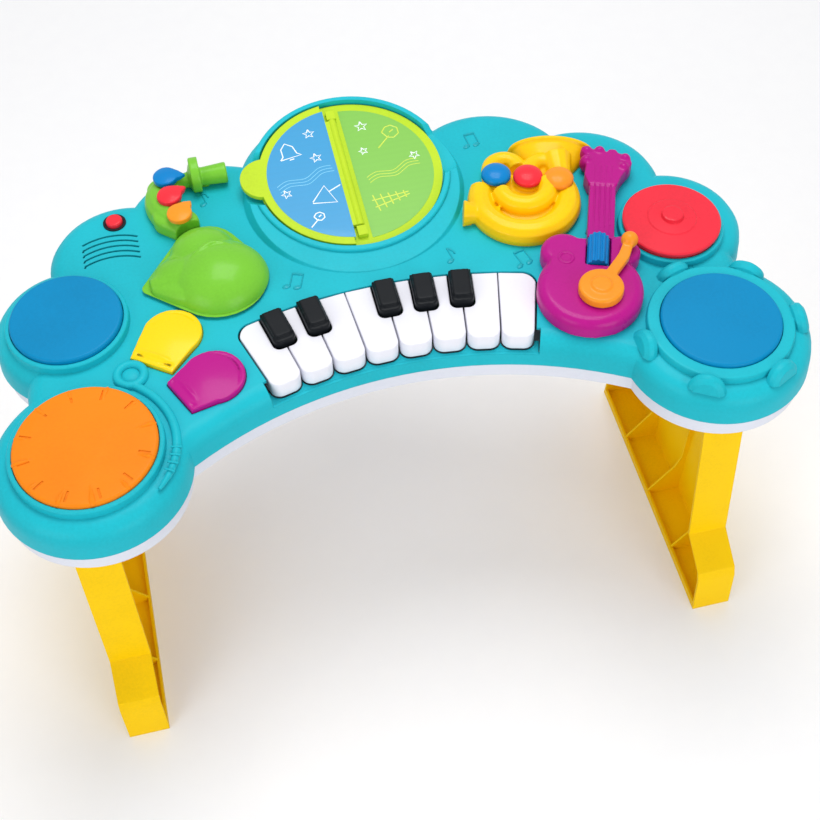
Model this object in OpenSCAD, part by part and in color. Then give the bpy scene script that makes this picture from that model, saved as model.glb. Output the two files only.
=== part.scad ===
// Musical activity table for small children: a lobed top shell with drums, a fanned keyboard,
// instrument buttons and a page-turning book, on a tray with two trough-shaped side legs.
// Millimetres, +Z up. The origin is on the floor under the middle of the table's outline.
// Plan positions are pairs [u, v]: u to the right, v to the back, from the line of the front drums.

/* [Levels] */
// Height of the struck drum heads above the floor
head_z = 336; // [300:1:380]
// Drop from the drum heads to the flat deck
deck_drop = 10; // [8:0.5:14]
// Height of the top shell from its seam to the deck
skirt_h = 28; // [26:0.5:34]
// Height of the tray below the seam
tray_h = 20; // [18:0.5:28]

/* [Shell] */
// Wall of the top shell and of the tray
wall = 2.6; // [2:0.1:3.2]
// Thickness of the deck
deck_t = 2.6; // [2:0.1:3.2]
// Inward lean of the straight part of the skirt
skirt_lean = 1.2; // [0.5:0.1:2]
// Radius of the rounded shoulder between skirt and deck
shoulder_r = 15; // [10:0.5:16]
// Radius of the hollow front edge that the child faces
front_r = 345; // [335:1:350]
// Centre of the hollow front edge and of the key fan, behind the drum line
fan_v = -311; // [-316:1:-306]
// Gap between the skirt and the tray's upright tongue
seam_gap = 0.8; // [0.6:0.1:1]
// Height of the tray's tongue inside the skirt
tongue_h = 6; // [4:0.5:7]

/* [Drums] */
// Distance of the two front drums from the middle
drum_u = 248.5; // [245:0.5:252]
// Radius of the front lobes at the seam
front_lobe_r = 75.5; // [74:0.5:78]
// Radius of the orange drum head
orange_r = 54; // [50:0.5:55]
// Radius of the left rear drum head
blue_r = 44.5; // [40:0.5:46]
// Place of the left rear drum head
blue_pos = [-251.8, 125.5]; // [-300:0.5:300]
// Radius of the tambourine head
tamb_r = 47.5; // [44:0.5:50]
// Outer radius of the flat ring around the tambourine head
tamb_ring_r = 58; // [56:0.5:60]
// Radius of the cymbal
cymbal_r = 40.5; // [36:0.5:41]
// Place of the cymbal
cymbal_pos = [246.5, 108.5]; // [-300:0.5:300]
// Width of the raised ring around each drum head
ring_w = 4; // [3:0.5:5]
// Height of the raised rings above the deck
ring_h = 7; // [5:0.5:8]
// Gap around every head and button in its hole
head_gap = 0.6; // [0.4:0.1:1]
// Travel of the drum heads
head_travel = 2; // [1:0.1:2.5]
// Number of raised lace marks on the orange head
lace_count = 12; // [8:1:16]
// Number of jingles on the tambourine rim
jingle_count = 6; // [4:1:8]

/* [Keyboard] */
// Number of white keys
white_count = 8; // [8:1:8]
// Angle from one white key to the next
key_pitch = 4.33; // [4.2:0.01:4.4]
// Gap between neighbouring keys
key_gap = 0.9; // [0.6:0.1:1.4]
// Distance of the key fronts from the fan centre
key_front_r = 351.2; // [351.2:0.1:353]
// Length of the white keys
white_len = 67; // [60:0.5:70]
// Height of the white key fronts
white_h = 15; // [13:0.5:15]
// Width of the black keys
black_w = 18.5; // [15:0.5:19]
// Length of the black keys
black_len = 33; // [30:0.5:38]
// Height of the black keys above the white ones
black_rise = 9; // [6:0.5:10]
// Wall of the hollow keys
key_wall = 2; // [1.6:0.1:2.4]
// Distance from the back of the white keys to their hinge line
hinge_back = 18; // [16:0.5:20]
// Radius of the hinge pins
hinge_pin_r = 1.6; // [1.2:0.1:2]
// Radial clearance of the hinge pins
pin_gap = 0.05; // [0.03:0.01:0.1]

/* [Book] */
// Place of the book's middle
book_pos = [0, 228]; // [-300:0.5:300]
// Radius of the round pages
page_r = 79; // [74:0.5:79]
// Height of the book's middle above the drum heads
book_rise = 4; // [2:0.5:6]
// Backward rise of the book, in degrees
book_tilt = 5.75; // [3:0.25:7]
// Thickness of the turning page
page_t = 4.4; // [3.6:0.2:5]
// Width of the ring around the book
turret_ring_w = 5; // [4:0.5:6]
// Length of the page's hinge barrel
barrel_len = 118; // [90:1:120]
// Radius of the steel pin through the barrel
page_pin_r = 1.2; // [1:0.1:1.4]

/* [Buttons] */
// Height of the maraca buttons above the deck
maraca_h = 6; // [4:0.5:8]
// Travel of the buttons
button_travel = 2.5; // [1.5:0.1:3]
// Radius of the trumpet's valve buttons
valve_r = 12.5; // [10:0.5:12.5]
// Height of the valve buttons
valve_h = 6.5; // [5:0.5:8]
// Radius of the power button
power_r = 7; // [5:0.5:8]

/* [Instruments] */
// Height of the saxophone's bell above the deck
bell_h = 22; // [18:0.5:26]
// Radius of the trumpet's tubing
tube_r = 9; // [7:0.5:9.5]
// Height of the guitar body above the deck
guitar_h = 17; // [14:0.5:20]
// Angle of the guitar's neck
guitar_turn = 20; // [18:1:22]
// Radius of the strum roller
roller_r = 9; // [7:0.5:9.5]
// Length of the strum roller
roller_len = 31; // [26:1:32]
// Radius of the lever's disc
lever_r = 18; // [15:0.5:19]
// Thickness of the lever's disc
lever_t = 8; // [6:0.5:9]

/* [Legs] */
// Distance of the legs' open inner side from the middle
leg_in_u = 250; // [246:0.5:254]
// Depth of the leg troughs
leg_depth = 36; // [32:0.5:38]
// Place of the legs' middle behind the drum line
leg_v = 50; // [45:1:55]
// Half length of a leg under the tray
leg_top_half = 58; // [54:1:60]
// Half length of a leg at its knee
leg_knee_half = 92; // [86:1:96]
// Height of the knee
knee_z = 71; // [60:1:85]
// Half length of a leg on the floor
leg_toe_half = 133; // [124:1:136]
// Height of the toes
toe_z = 50; // [40:1:55]
// Wall of the legs
leg_wall = 2.6; // [2.2:0.1:3.2]
// Height of the plug that enters the tray
plug_h = 12; // [9:0.5:13]
// Clearance of the plug in its socket
plug_gap = 0.3; // [0.2:0.05:0.5]

/* [Inside] */
// Thickness of the circuit boards
board_t = 1.6; // [1.2:0.2:2]
// Height of the rubber domes
dome_h = 4.2; // [3:0.2:5]
// Radius of the rubber domes
dome_r = 4.5; // [3.5:0.5:6]
// Radius of the speaker
speaker_r = 22; // [18:0.5:24]
// Place of the speaker
speaker_pos = [-213, 188]; // [-300:0.5:300]
// Radius of a battery
cell_r = 7.1; // [7:0.1:7.2]
// Length of a battery
cell_len = 50; // [48:0.5:50.5]
// Radius of the housing screws
screw_r = 1.5; // [1.2:0.1:1.8]

/* [Hidden] */
$fn = 64;
big = 600;

deck_z = head_z - deck_drop;
under_z = deck_z - deck_t;
seam_z = deck_z - skirt_h;
tray_z = seam_z - tray_h;
ledge_z = deck_z - shoulder_r - 1;
floor_z = tray_z + wall;

// The outline: nine lobes as [u, v, radius at the seam], from the left front round to the right,
// then the two that fill the waists
LOBES = [[-drum_u, 0, front_lobe_r], [-250, 128.5, 63], [-200, 190, 65], [-122, 205, 82],
    [0, 236, 100], [120, 215, 77], [195, 182, 69], [250, 119, 62], [drum_u, 0, front_lobe_r],
    [-236, 66, 56], [236, 66, 56]];
back_v = LOBES[4].y + LOBES[4][2];
toe_v = leg_v - leg_toe_half;
mid_v = (back_v + toe_v) / 2;

// Place of a point at radius r and bearing a (clockwise from straight back) round the fan centre
function fan(r, a) = [r * sin(a), fan_v + r * cos(a)];
// Moves plan coordinates so that the middle of the outline is at the origin
module placed() translate([0, -mid_v, 0]) children();
module at(p, z = 0, turn = 0) translate([p.x, p.y, z]) rotate(turn) children();
// Stands a shape up on its local radius line at bearing a, y pointing away from the fan centre
module on_fan(a) translate([0, fan_v, 0]) rotate(-a) children();
module disc(p, r, z0, z1) at(p, z0) cylinder(r = r, h = z1 - z0, $fn = 96);
// Sweeps a section drawn in [radius, z] round the fan centre, half degrees to each side
module on_fan_sector(half, z0) translate([0, fan_v, z0]) rotate(90 - half)
    rotate_extrude(angle = 2 * half, $fn = 180) children();
module ring_sector(r0, r1, half, z0, z1) on_fan_sector(half, z0)
    translate([r0, 0]) square([r1 - r0, z1 - z0]);
// Round head with a soft rim: a revolved section with a corner arc
module soft_disc(r, h, edge, fn = 96) rotate_extrude($fn = fn) soft_section(r, h, edge);
module soft_section(r, h, edge) {
    square([r - edge, h]);
    square([r, h - edge]);
    intersection() {
        translate([r - edge, h - edge]) circle(r = edge, $fn = 32);
        square([r, h]);
    }
}
// Low dome of height h over radius r, cut from a sphere
module dome(r, h, fn = 48) rotate_extrude($fn = fn) intersection() {
    translate([0, h - (r * r + h * h) / (2 * h)]) circle(r = (r * r + h * h) / (2 * h), $fn = 96);
    square([r, h]);
}
// Solid of radius r under a spherical crown of the given curvature, its top at z = 0
module crown(r, curve, depth) rotate_extrude($fn = 96) intersection() {
    translate([0, -curve]) circle(r = curve, $fn = 720);
    translate([0, -depth]) square([r, depth]);
}

// ---------------------------------------------------------------- top shell
// Levels of the outer form as [inset, height above its foot]
SKIRT = concat([[0, 0]], [for (k = [0:4]) let (a = 22.5 * k)
    [skirt_lean + shoulder_r * (1 - cos(a)), skirt_h - shoulder_r + shoulder_r * sin(a)]]);
// The hollow steps inwards under the shoulder, each step [inset, height above the seam]
HOLLOW = [[skirt_lean + wall, skirt_h - shoulder_r + 1], [shoulder_r / 2 - 1.2, skirt_h - 8],
    [shoulder_r - 3, skirt_h - deck_t]];
sweep_half = atan(3 / 4);
sweep_depth = 110;
// Solid of the whole outline on the level z0
module lobed_body(z0, levels) {
    top = levels[len(levels) - 1].y;
    for (p = LOBES) at(p, z0) rotate_extrude($fn = 96)
        polygon(concat([[0, 0]], [for (l = levels) [p[2] - l.x, l.y]], [[0, top]]));
    on_fan_sector(sweep_half, z0) polygon(concat([[front_r + sweep_depth, 0]],
        [for (l = levels) [front_r + l.x, l.y]], [[front_r + sweep_depth, top]]));
    translate([0, 0, z0]) linear_extrude(top)
        polygon([for (i = [9, 1, 2, 3, 4, 5, 6, 7, 10]) [LOBES[i].x, LOBES[i].y]]);
}

ring_z = deck_z + ring_h;
orange_pos = [-drum_u, 0];
tamb_pos = [drum_u, 0];
key_half = white_count / 2 * key_pitch;
front_round = 8.5;
key_open_r0 = key_front_r + front_round - 1.5;
key_back_r = key_front_r + white_len;
key_open_r1 = key_back_r + 1.2;
key_open_half = key_half + 0.15;
end_round = 13;

// Book plane: a frame whose z = 0 is the top of the turret's ring, tilted up to the back
book_well_r = page_r + 1.6;
turret_r = book_well_r + turret_ring_w;
turret_foot = [0, 218];
turret_foot_r = 96;
book_stack = page_t + 3.6;
module on_book() translate([book_pos.x, book_pos.y, head_z + book_rise])
    rotate([book_tilt, 0, 0]) children();

turret_z = under_z + 0.8;
module turret() {
    intersection() {
        at(turret_foot, turret_z) cylinder(r1 = turret_foot_r, r2 = turret_foot_r - 14, h = 26, $fn = 120);
        on_book() translate([0, 0, -60]) cylinder(r = 2 * turret_r, h = 57, $fn = 24);
    }
    intersection() {
        on_book() translate([0, 0, -40]) rotate_extrude($fn = 120) polygon([[0, 0],
            [turret_r + 1, 0], [turret_r, 39], [turret_r - 1, 40], [0, 40]]);
        translate([0, 0, turret_z]) cylinder(r = big, h = 60, $fn = 24);
    }
}
turret_floor_t = 2.6;
module turret_floor() on_book() translate([0, 0, -book_stack - turret_floor_t])
    cylinder(r = book_well_r + 2, h = turret_floor_t + 1, $fn = 120);
module turret_hollow() on_book() translate([0, 0, -40])
    cylinder(r = book_well_r - 1, h = 40 - book_stack - turret_floor_t, $fn = 120);
// Conical pockets in the turret's ring for a finger and for the page's tab
recess_v = 8;
recess_u = 76;
recess_r = 23;
module thumb_recesses() for (side = [-1, 1]) on_book() translate([side * recess_u, recess_v, 0])
    rotate_extrude($fn = 64) polygon([[0, -book_stack], [recess_r - 4, -book_stack],
        [recess_r, -book_stack + 1.4], [recess_r + 7, 1], [recess_r + 7, 20], [0, 20]]);
module book_well() on_book() {
    translate([0, 0, -book_stack]) cylinder(r = book_well_r, h = book_stack + 30, $fn = 120);
}

module drum_ring(p, r) at(p, deck_z) rotate_extrude($fn = 96) polygon([[r, -2], [r + ring_w, -2],
    [r + ring_w - 0.4, ring_h - 1], [r + ring_w - 1.4, ring_h], [r, ring_h]]);
module tambourine_rim() at(tamb_pos, deck_z) rotate_extrude($fn = 96) polygon([
    [tamb_r + head_gap, -1], [tamb_ring_r, -1], [tamb_ring_r, ring_h - 2.4],
    [tamb_ring_r - 0.8, ring_h - 0.7], [tamb_ring_r - 2.5, ring_h], [tamb_r + head_gap, ring_h]]);
jingle_r = 15;
module jingles() intersection() {
    for (k = [0:jingle_count - 1]) let (a = 184 + 360 / 6.4 * k)
        at([tamb_pos.x + (tamb_ring_r + 6) * cos(a), tamb_pos.y + (tamb_ring_r + 6) * sin(a)],
            deck_z - 3.2, a) rotate([0, 76, 0]) translate([0, 0, -6]) rotate_extrude($fn = 48)
            polygon([[0, 0], [jingle_r - 5, 0], [jingle_r - 1, 2.5], [jingle_r, 6],
                [jingle_r - 1, 9.5], [jingle_r - 5, 12], [0, 12]]);
    translate([0, 0, deck_z - 1.4]) cylinder(r = big, h = 40, $fn = 24);
}

// Where the shells are screwed together
SCREWS = [[-186, 4], [-208, 54], [-196, 163], [-134, 240], [0, 141], [140, 232], [196, 150],
    [208, 54], [186, 4]];
post_r = 4;
module posts(z0, z1) for (p = SCREWS) disc(p, post_r, z0, z1);
post_z = seam_z - 8;

module sound_slots() for (k = [0:4]) at([speaker_pos.x + 3, speaker_pos.y - 46 + k * 6], under_z - 1)
    rotate(62) rotate_extrude(angle = 56, $fn = 160) translate([48, 0]) square([1.8, deck_t + 2]);
module pin_holes() for (k = [0:6]) at([speaker_pos.x - 20 + (k % 2) * 4, speaker_pos.y - 4 + k * 3],
    under_z - 1) cylinder(r = 0.9, h = deck_t + 2, $fn = 16);

module top_shell() color([0.10, 0.72, 0.80]) placed() {
    difference() {
        union() {
            difference() {
                union() {
                    difference() {
                        lobed_body(seam_z, SKIRT);
                        for (step = HOLLOW) lobed_body(seam_z - 1, [[step.x, 0], [step.x, step.y + 1]]);
                    }
                    turret();
                }
                turret_hollow();
            }
            turret_floor();
            drum_ring(orange_pos, orange_r + head_gap);
            drum_ring(blue_pos, blue_r + head_gap);
            drum_ring(cymbal_pos, cymbal_r + head_gap - 1);
            tambourine_rim();
            jingles();
            posts(post_z, under_z + 1);
        }
        book_well();
        thumb_recesses();
        key_opening();
        disc(orange_pos, orange_r + head_gap, under_z - 1, head_z);
        disc(blue_pos, blue_r + head_gap, under_z - 1, head_z);
        disc(cymbal_pos, cymbal_r + head_gap - 1, under_z - 1, head_z);
        disc(tamb_pos, tamb_r + head_gap, under_z - 1, head_z);
        maraca_hole(YELLOW);
        maraca_hole(PURPLE);
        bell_hole();
        for (p = SAX_KEYS) disc(p, stem_hole_r, under_z - 1, deck_z + 1);
        for (p = VALVES) disc(p, stem_hole_r, under_z - 1, deck_z + 1);
        for (p = PEGS) disc(p, peg_r + pin_gap, under_z - 1, deck_z + 1);
        disc(power_pos, power_r + 1.4, under_z - 1, deck_z + 1);
        sound_slots();
        pin_holes();
        for (p = SCREWS) disc(p, screw_r + pin_gap, post_z - 1, under_z - 2);
    }
}
front_gap = 0.8;
// Room round the rounded front end of one white key
module front_bay() {
    side = half_w(key_front_r) - front_round;
    translate([-side, key_front_r - front_gap]) square([2 * side, front_round + front_gap + 1]);
    for (s = [-1, 1]) translate([s * side, key_front_r + front_round])
        circle(r = front_round + front_gap, $fn = 48);
}
ledge_end = 0.5;
corner_bearing = key_open_half - asin((end_round - 0.1) / (key_open_r1 - end_round));
module key_opening() {
    ring_sector(key_open_r0, key_open_r1 - end_round, key_open_half, under_z - 20, deck_z + 1);
    for (i = [1:white_count]) translate([0, 0, under_z - 20]) on_fan(key_bearing(i))
        linear_extrude(deck_t + 21) front_bay();
    ring_sector(key_open_r0, key_open_r1, corner_bearing, under_z - 20, deck_z + 1);
    for (side = [-1, 1]) disc(fan(key_open_r1 - end_round + 0.1, side * corner_bearing), end_round,
        under_z - 20, deck_z + 1);
    ring_sector(front_r - 20, key_front_r + front_round + 1, key_open_half + ledge_end, ledge_z, deck_z + 1);
}
// Waste outside the rounded back corner of the key field; side +1 is the right end
module end_corner(side, z, h) translate([0, 0, z]) linear_extrude(h) difference() {
    translate([side > 0 ? -end_round : 0, key_back_r - end_round])
        square([end_round + 2, end_round + 2]);
    translate([-side * end_round, key_back_r - end_round]) circle(r = end_round, $fn = 48);
    translate([side > 0 ? -end_round - 1 : end_round, key_back_r - end_round - 1])
        square([1, end_round + 4]);
}

// ---------------------------------------------------------------- tray and legs
TRAY = [[6, 0], [3, 3], [3, tray_h]];
tongue_in = skirt_lean + wall + seam_gap;
tongue_t = 1.7;
tray_in = tongue_in + tongue_t + 0.5;
collar_h = 8;
collar_w = 5;
plug_half = leg_top_half - 6;
collar_z = tray_z - collar_h;

module leg_plug_plan(grow) translate([leg_in_u + 3 - grow, leg_v - plug_half - grow])
    square([leg_depth - 6 + 2 * grow, 2 * (plug_half + grow)]);
module both_sides() {
    children();
    mirror([1, 0, 0]) children();
}
module collar() both_sides() translate([0, 0, collar_z]) linear_extrude(collar_h + wall) {
    translate([leg_in_u - collar_w, leg_v - leg_top_half - collar_w + 4])
        square([leg_depth + 2 * collar_w, 2 * (leg_top_half + collar_w) - 8]);
    translate([leg_in_u - collar_w + 4, leg_v - leg_top_half - collar_w])
        square([leg_depth + 2 * collar_w - 8, 2 * (leg_top_half + collar_w)]);
    for (x = [0, 1]) for (y = [-1, 1])
        translate([leg_in_u - collar_w + 4 + x * (leg_depth + 2 * collar_w - 8),
            leg_v + y * (leg_top_half + collar_w - 4)]) circle(r = 4, $fn = 32);
}
socket_top = collar_z + plug_h + plug_gap;
module socket_walls() both_sides() translate([0, 0, floor_z - 1])
    linear_extrude(socket_top + wall - floor_z + 1) leg_plug_plan(plug_gap + wall);
module sockets() both_sides() translate([0, 0, collar_z - 1])
    linear_extrude(socket_top - collar_z + 1) leg_plug_plan(plug_gap);

door_pos = [0, 236];
door_w = 62;
door_d = 66;
bay_z = floor_z + 20;
BED_POSTS = [[-88, 62], [0, 88], [88, 62], [-110, 96], [110, 96]];
LEFT_POSTS = [[-226, 24], [-232, 100], [-150, 110], [-166, 222]];
RIGHT_POSTS = [[226, 24], [226, 88], [120, 150], [160, 60]];
board_z = seam_z;
bed_z = seam_z - 2;
module base_shell() color([0.90, 0.91, 0.94]) placed() {
    difference() {
        union() {
            difference() {
                lobed_body(tray_z, TRAY);
                lobed_body(floor_z, [[tray_in, 0], [tray_in, tray_h]]);
            }
            difference() {
                lobed_body(seam_z - 0.01, [[tongue_in, 0], [tongue_in, tongue_h]]);
                lobed_body(seam_z - 3, [[tongue_in + tongue_t, 0], [tongue_in + tongue_t, 2 * tongue_h]]);
            }
            collar();
            socket_walls();
            posts(floor_z - 1, post_z);
            for (p = concat(LEFT_POSTS, RIGHT_POSTS)) disc(p, post_r, floor_z - 1, board_z);
            for (p = BED_POSTS) disc(p, post_r, floor_z - 1, bed_z);
            translate([door_pos.x - door_w / 2, door_pos.y - door_d / 2, floor_z - 1])
                cube([door_w, door_d, bay_z - floor_z + 1]);
        }
        sockets();
        for (p = SCREWS) {
            disc(p, screw_r + 0.3, tray_z - 1, post_z + 1);
            disc(p, screw_r + 2, tray_z - 1, tray_z + 3);
        }
        battery_bay();
    }
}
module battery_bay() {
    translate([door_pos.x - door_w / 2 + wall, door_pos.y - door_d / 2 + wall, tray_z - 1])
        cube([door_w - 2 * wall, door_d - 2 * wall - 8, bay_z - wall - tray_z + 1]);
    at([door_pos.x, door_pos.y + door_d / 2 - 5.4], tray_z - 1) cylinder(r = screw_r + pin_gap, h = 14);
}

module leg_profile(inset, z0, z1) {
    side = [[leg_top_half, collar_z], [leg_knee_half, knee_z], [leg_toe_half - 9, toe_z + 2],
        [leg_toe_half - 5, toe_z - 7], [leg_toe_half, 0]];
    intersection() {
        polygon(concat([for (p = side) [leg_v + p.x - inset, p.y]],
            [for (i = [len(side) - 1:-1:0]) [leg_v - side[i].x + inset, side[i].y]]));
        translate([leg_v - 200, z0]) square([400, z1 - z0]);
    }
}
// Extrudes a profile drawn in [v, z] from u0 to u1
module across(u0, u1) translate([u0, 0, 0]) rotate([90, 0, 90]) linear_extrude(u1 - u0) children();
lip_h = 8;
band_h = 12;
gusset_t = 2.2;
gusset_pitch = 67;
gusset_h = 57;
rib_w = 7;
module leg() {
    out_u = leg_in_u + leg_depth;
    difference() {
        across(leg_in_u, out_u) leg_profile(0, 0, collar_z);
        across(leg_in_u + leg_wall, out_u - leg_wall) leg_profile(leg_wall, leg_wall,
            collar_z - leg_wall);
        across(leg_in_u - 1, leg_in_u + leg_wall + 1) leg_profile(leg_wall, lip_h, collar_z - band_h);
    }
    for (k = [-1:1]) translate([0, leg_v + k * gusset_pitch + gusset_t / 2, 0]) rotate([90, 0, 0])
        linear_extrude(gusset_t) polygon([[leg_in_u + 1, 1], [out_u - 1, 1],
            [out_u - 1, collar_z - 1], [out_u - rib_w, collar_z - 1], [out_u - rib_w, gusset_h],
            [leg_in_u + 24, gusset_h - 15], [leg_in_u + 1, lip_h]]);
    translate([0, 0, collar_z - 1]) linear_extrude(plug_h + 1) difference() {
        leg_plug_plan(0);
        leg_plug_plan(-leg_wall);
    }
}
module leg_left() color([1.0, 0.80, 0.02]) placed() mirror([1, 0, 0]) leg();
module leg_right() color([1.0, 0.80, 0.02]) placed() leg();

// ---------------------------------------------------------------- keyboard
hinge_r = key_back_r + hinge_back;
hinge_z = deck_z - 10;
tail_w = 8;
ear_t = 2.4;
ear_gap = 0.4;
black_front_r = key_back_r - black_len;
black_gap = 1;
white_stem = 34;
black_stem = 46;
BLACK_AT = [1, 2, 4, 5, 6];
function key_bearing(i) = (i - (white_count + 1) / 2) * key_pitch;
function half_w(r) = r * tan(key_pitch / 2) - key_gap / 2;

module white_plan(grow) {
    r0 = key_front_r;
    polygon([[-half_w(r0) + grow, r0 + front_round], [half_w(r0) - grow, r0 + front_round],
        [half_w(key_back_r) - grow, key_back_r - grow], [-half_w(key_back_r) + grow, key_back_r - grow]]);
    translate([-half_w(r0) + front_round, r0 + grow])
        square([2 * (half_w(r0) - front_round), front_round + 1 - grow]);
    for (s = [-1, 1]) translate([s * (half_w(r0) - front_round), r0 + front_round])
        circle(r = front_round - grow, $fn = 48);
}
module black_plan(grow) {
    translate([-black_w / 2 - grow, black_front_r + 5 - grow])
        square([black_w + 2 * grow, black_len - 5 + 2 * grow]);
    translate([-black_w / 2 + 5, black_front_r - 2 * grow]) square([black_w - 10, 6 + grow]);
    for (s = [-1, 1]) translate([s * (black_w / 2 - 5), black_front_r + 5 - grow])
        circle(r = 5 + grow, $fn = 32);
}
module tail(from_r) {
    translate([-tail_w / 2, from_r, hinge_z - 3]) cube([tail_w, hinge_r - from_r, 6]);
    translate([-tail_w / 2, hinge_r, hinge_z]) rotate([0, 90, 0]) cylinder(r = 3, h = tail_w, $fn = 32);
    translate([-tail_w / 2 - ear_t - ear_gap, hinge_r, hinge_z]) rotate([0, 90, 0])
        cylinder(r = hinge_pin_r, h = tail_w + 2 * (ear_t + ear_gap), $fn = 32);
}
module white_key(i) color([0.96, 0.96, 0.98]) placed() on_fan(key_bearing(i)) difference() {
    union() {
        difference() {
            translate([0, 0, deck_z - white_h]) linear_extrude(white_h) white_plan(0);
            translate([0, 0, deck_z - white_h - 1]) linear_extrude(white_h + 1 - key_wall)
                white_plan(key_wall);
            translate([-20, key_back_r - 14, deck_z - white_h - 1]) cube([40, 20, 3]);
        }
        tail(key_back_r - key_wall);
        translate([0, key_front_r + white_stem, stem_z]) cylinder(r = 2.5, h = deck_z - 1 - stem_z, $fn = 24);
    }
    for (b = BLACK_AT) if (b == i || b == i - 1) rotate(-(b == i ? 1 : -1) * key_pitch / 2)
        translate([0, 0, deck_z - white_h - 1]) linear_extrude(white_h + 2) black_plan(black_gap);
    if (i == 1) rotate(key_pitch / 2) end_corner(-1, deck_z - white_h - 1, 30);
    if (i == white_count) rotate(-key_pitch / 2) end_corner(1, deck_z - white_h - 1, 30);
}
module black_key(k) color([0.10, 0.12, 0.15]) placed()
    on_fan(key_bearing(BLACK_AT[k - 1]) + key_pitch / 2) {
        difference() {
            union() {
                translate([0, 0, deck_z - white_h + 3]) linear_extrude(white_h - 3 + black_rise - 3)
                    black_plan(0);
                intersection() {
                    translate([0, 0, deck_z - 2]) linear_extrude(black_rise + 2) black_plan(-1.6);
                    translate([-20, black_front_r, deck_z - 4]) rotate([6, 0, 0])
                        cube([40, black_len + 4, black_rise + 4]);
                }
            }
            translate([-black_w / 2 + key_wall, black_front_r + key_wall + 1, deck_z - white_h])
                cube([black_w - 2 * key_wall, black_len - 2 * key_wall - 2, white_h + black_rise - 6]);
        }
        tail(key_back_r - key_wall);
        translate([0, key_front_r + black_stem, stem_z]) cylinder(r = 2.5, h = deck_z + 5 - stem_z, $fn = 24);
    }
function tail_bearings() = concat([for (i = [1:white_count]) key_bearing(i)],
    [for (b = BLACK_AT) key_bearing(b) + key_pitch / 2]);
module key_bed() color([0.75, 0.76, 0.78]) placed() difference() {
    union() {
        ring_sector(key_front_r + 2, hinge_r + 6, key_half - 0.2, bed_z, bed_z + 2);
        for (a = tail_bearings()) on_fan(a) for (s = [-1, 1])
            translate([s * (tail_w / 2 + ear_gap + ear_t / 2) - ear_t / 2, hinge_r - 4, bed_z + 1])
                cube([ear_t, 8, hinge_z - bed_z + 3]);
    }
    for (a = tail_bearings()) on_fan(a) translate([-12, hinge_r, hinge_z]) rotate([0, 90, 0])
        cylinder(r = hinge_pin_r + pin_gap, h = 24, $fn = 32);
}
key_board_z = bed_z + 2;
module key_board() color([0.10, 0.45, 0.25]) placed()
    ring_sector(key_front_r + 20, key_back_r + 4, key_half - 1, key_board_z, key_board_z + board_t);
module key_domes() color([0.85, 0.85, 0.82]) placed() {
    for (i = [1:white_count]) at(fan(key_front_r + white_stem, key_bearing(i)), key_board_z + board_t)
        dome(dome_r, dome_h);
    for (b = BLACK_AT) at(fan(key_front_r + black_stem, key_bearing(b) + key_pitch / 2), key_board_z + board_t)
        dome(dome_r, dome_h);
}

// ---------------------------------------------------------------- drum heads and buttons
flange_w = 2.2;
flange_z = under_z - 0.3;
flange_t = 2;
stem_r = 3.5;
stem_hole_r = stem_r + 0.4;
stem_z = board_z + board_t + dome_h + head_travel + 0.8;
// A hollow head: crowned top, skirt through the shell, flange under the deck and a stem
module head(p, r, top) at(p) {
    difference() {
        union() {
            translate([0, 0, flange_z - 6]) soft_disc(r, top - flange_z + 6, 2.4);
            translate([0, 0, flange_z - flange_t]) cylinder(r = r + flange_w, h = flange_t, $fn = 96);
        }
        translate([0, 0, flange_z - 7]) cylinder(r = r - 2.4, h = top - flange_z + 7 - 2.6, $fn = 96);
    }
    translate([0, 0, stem_z]) cylinder(r = stem_r, h = top - stem_z - 1);
}
module lace_marks() for (k = [0:lace_count - 1]) rotate(360 / lace_count * k + 8)
    translate([orange_r - 13, -0.8, head_z - 0.7]) cube([9, 1.6, 1.2]);
module drum_head_orange() color([0.97, 0.55, 0.12]) placed() {
    difference() {
        head(orange_pos, orange_r, head_z);
        at(orange_pos) lace_marks();
    }
}
module drum_head_blue() color([0.01, 0.55, 0.80]) placed() head(blue_pos, blue_r, head_z + 1);
module tambourine_head() color([0.01, 0.55, 0.80]) placed() head(tamb_pos, tamb_r, head_z);
module cymbal() color([0.93, 0.20, 0.27]) placed() {
    head(cymbal_pos, cymbal_r - 1, ring_z);
    at(cymbal_pos, ring_z + head_travel + 0.4 - 2.4) rotate_extrude($fn = 96) polygon([[0, 0], [cymbal_r - 4, 0],
        [cymbal_r - 4, 2.4], [cymbal_r, 2.4], [cymbal_r, 4.4], [cymbal_r - 1.4, 5.4], [20.5, 6.6],
        [19.5, 7.6], [9.5, 8.4], [8.7, 11.4], [7.2, 12], [0, 12]]);
}

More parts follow.
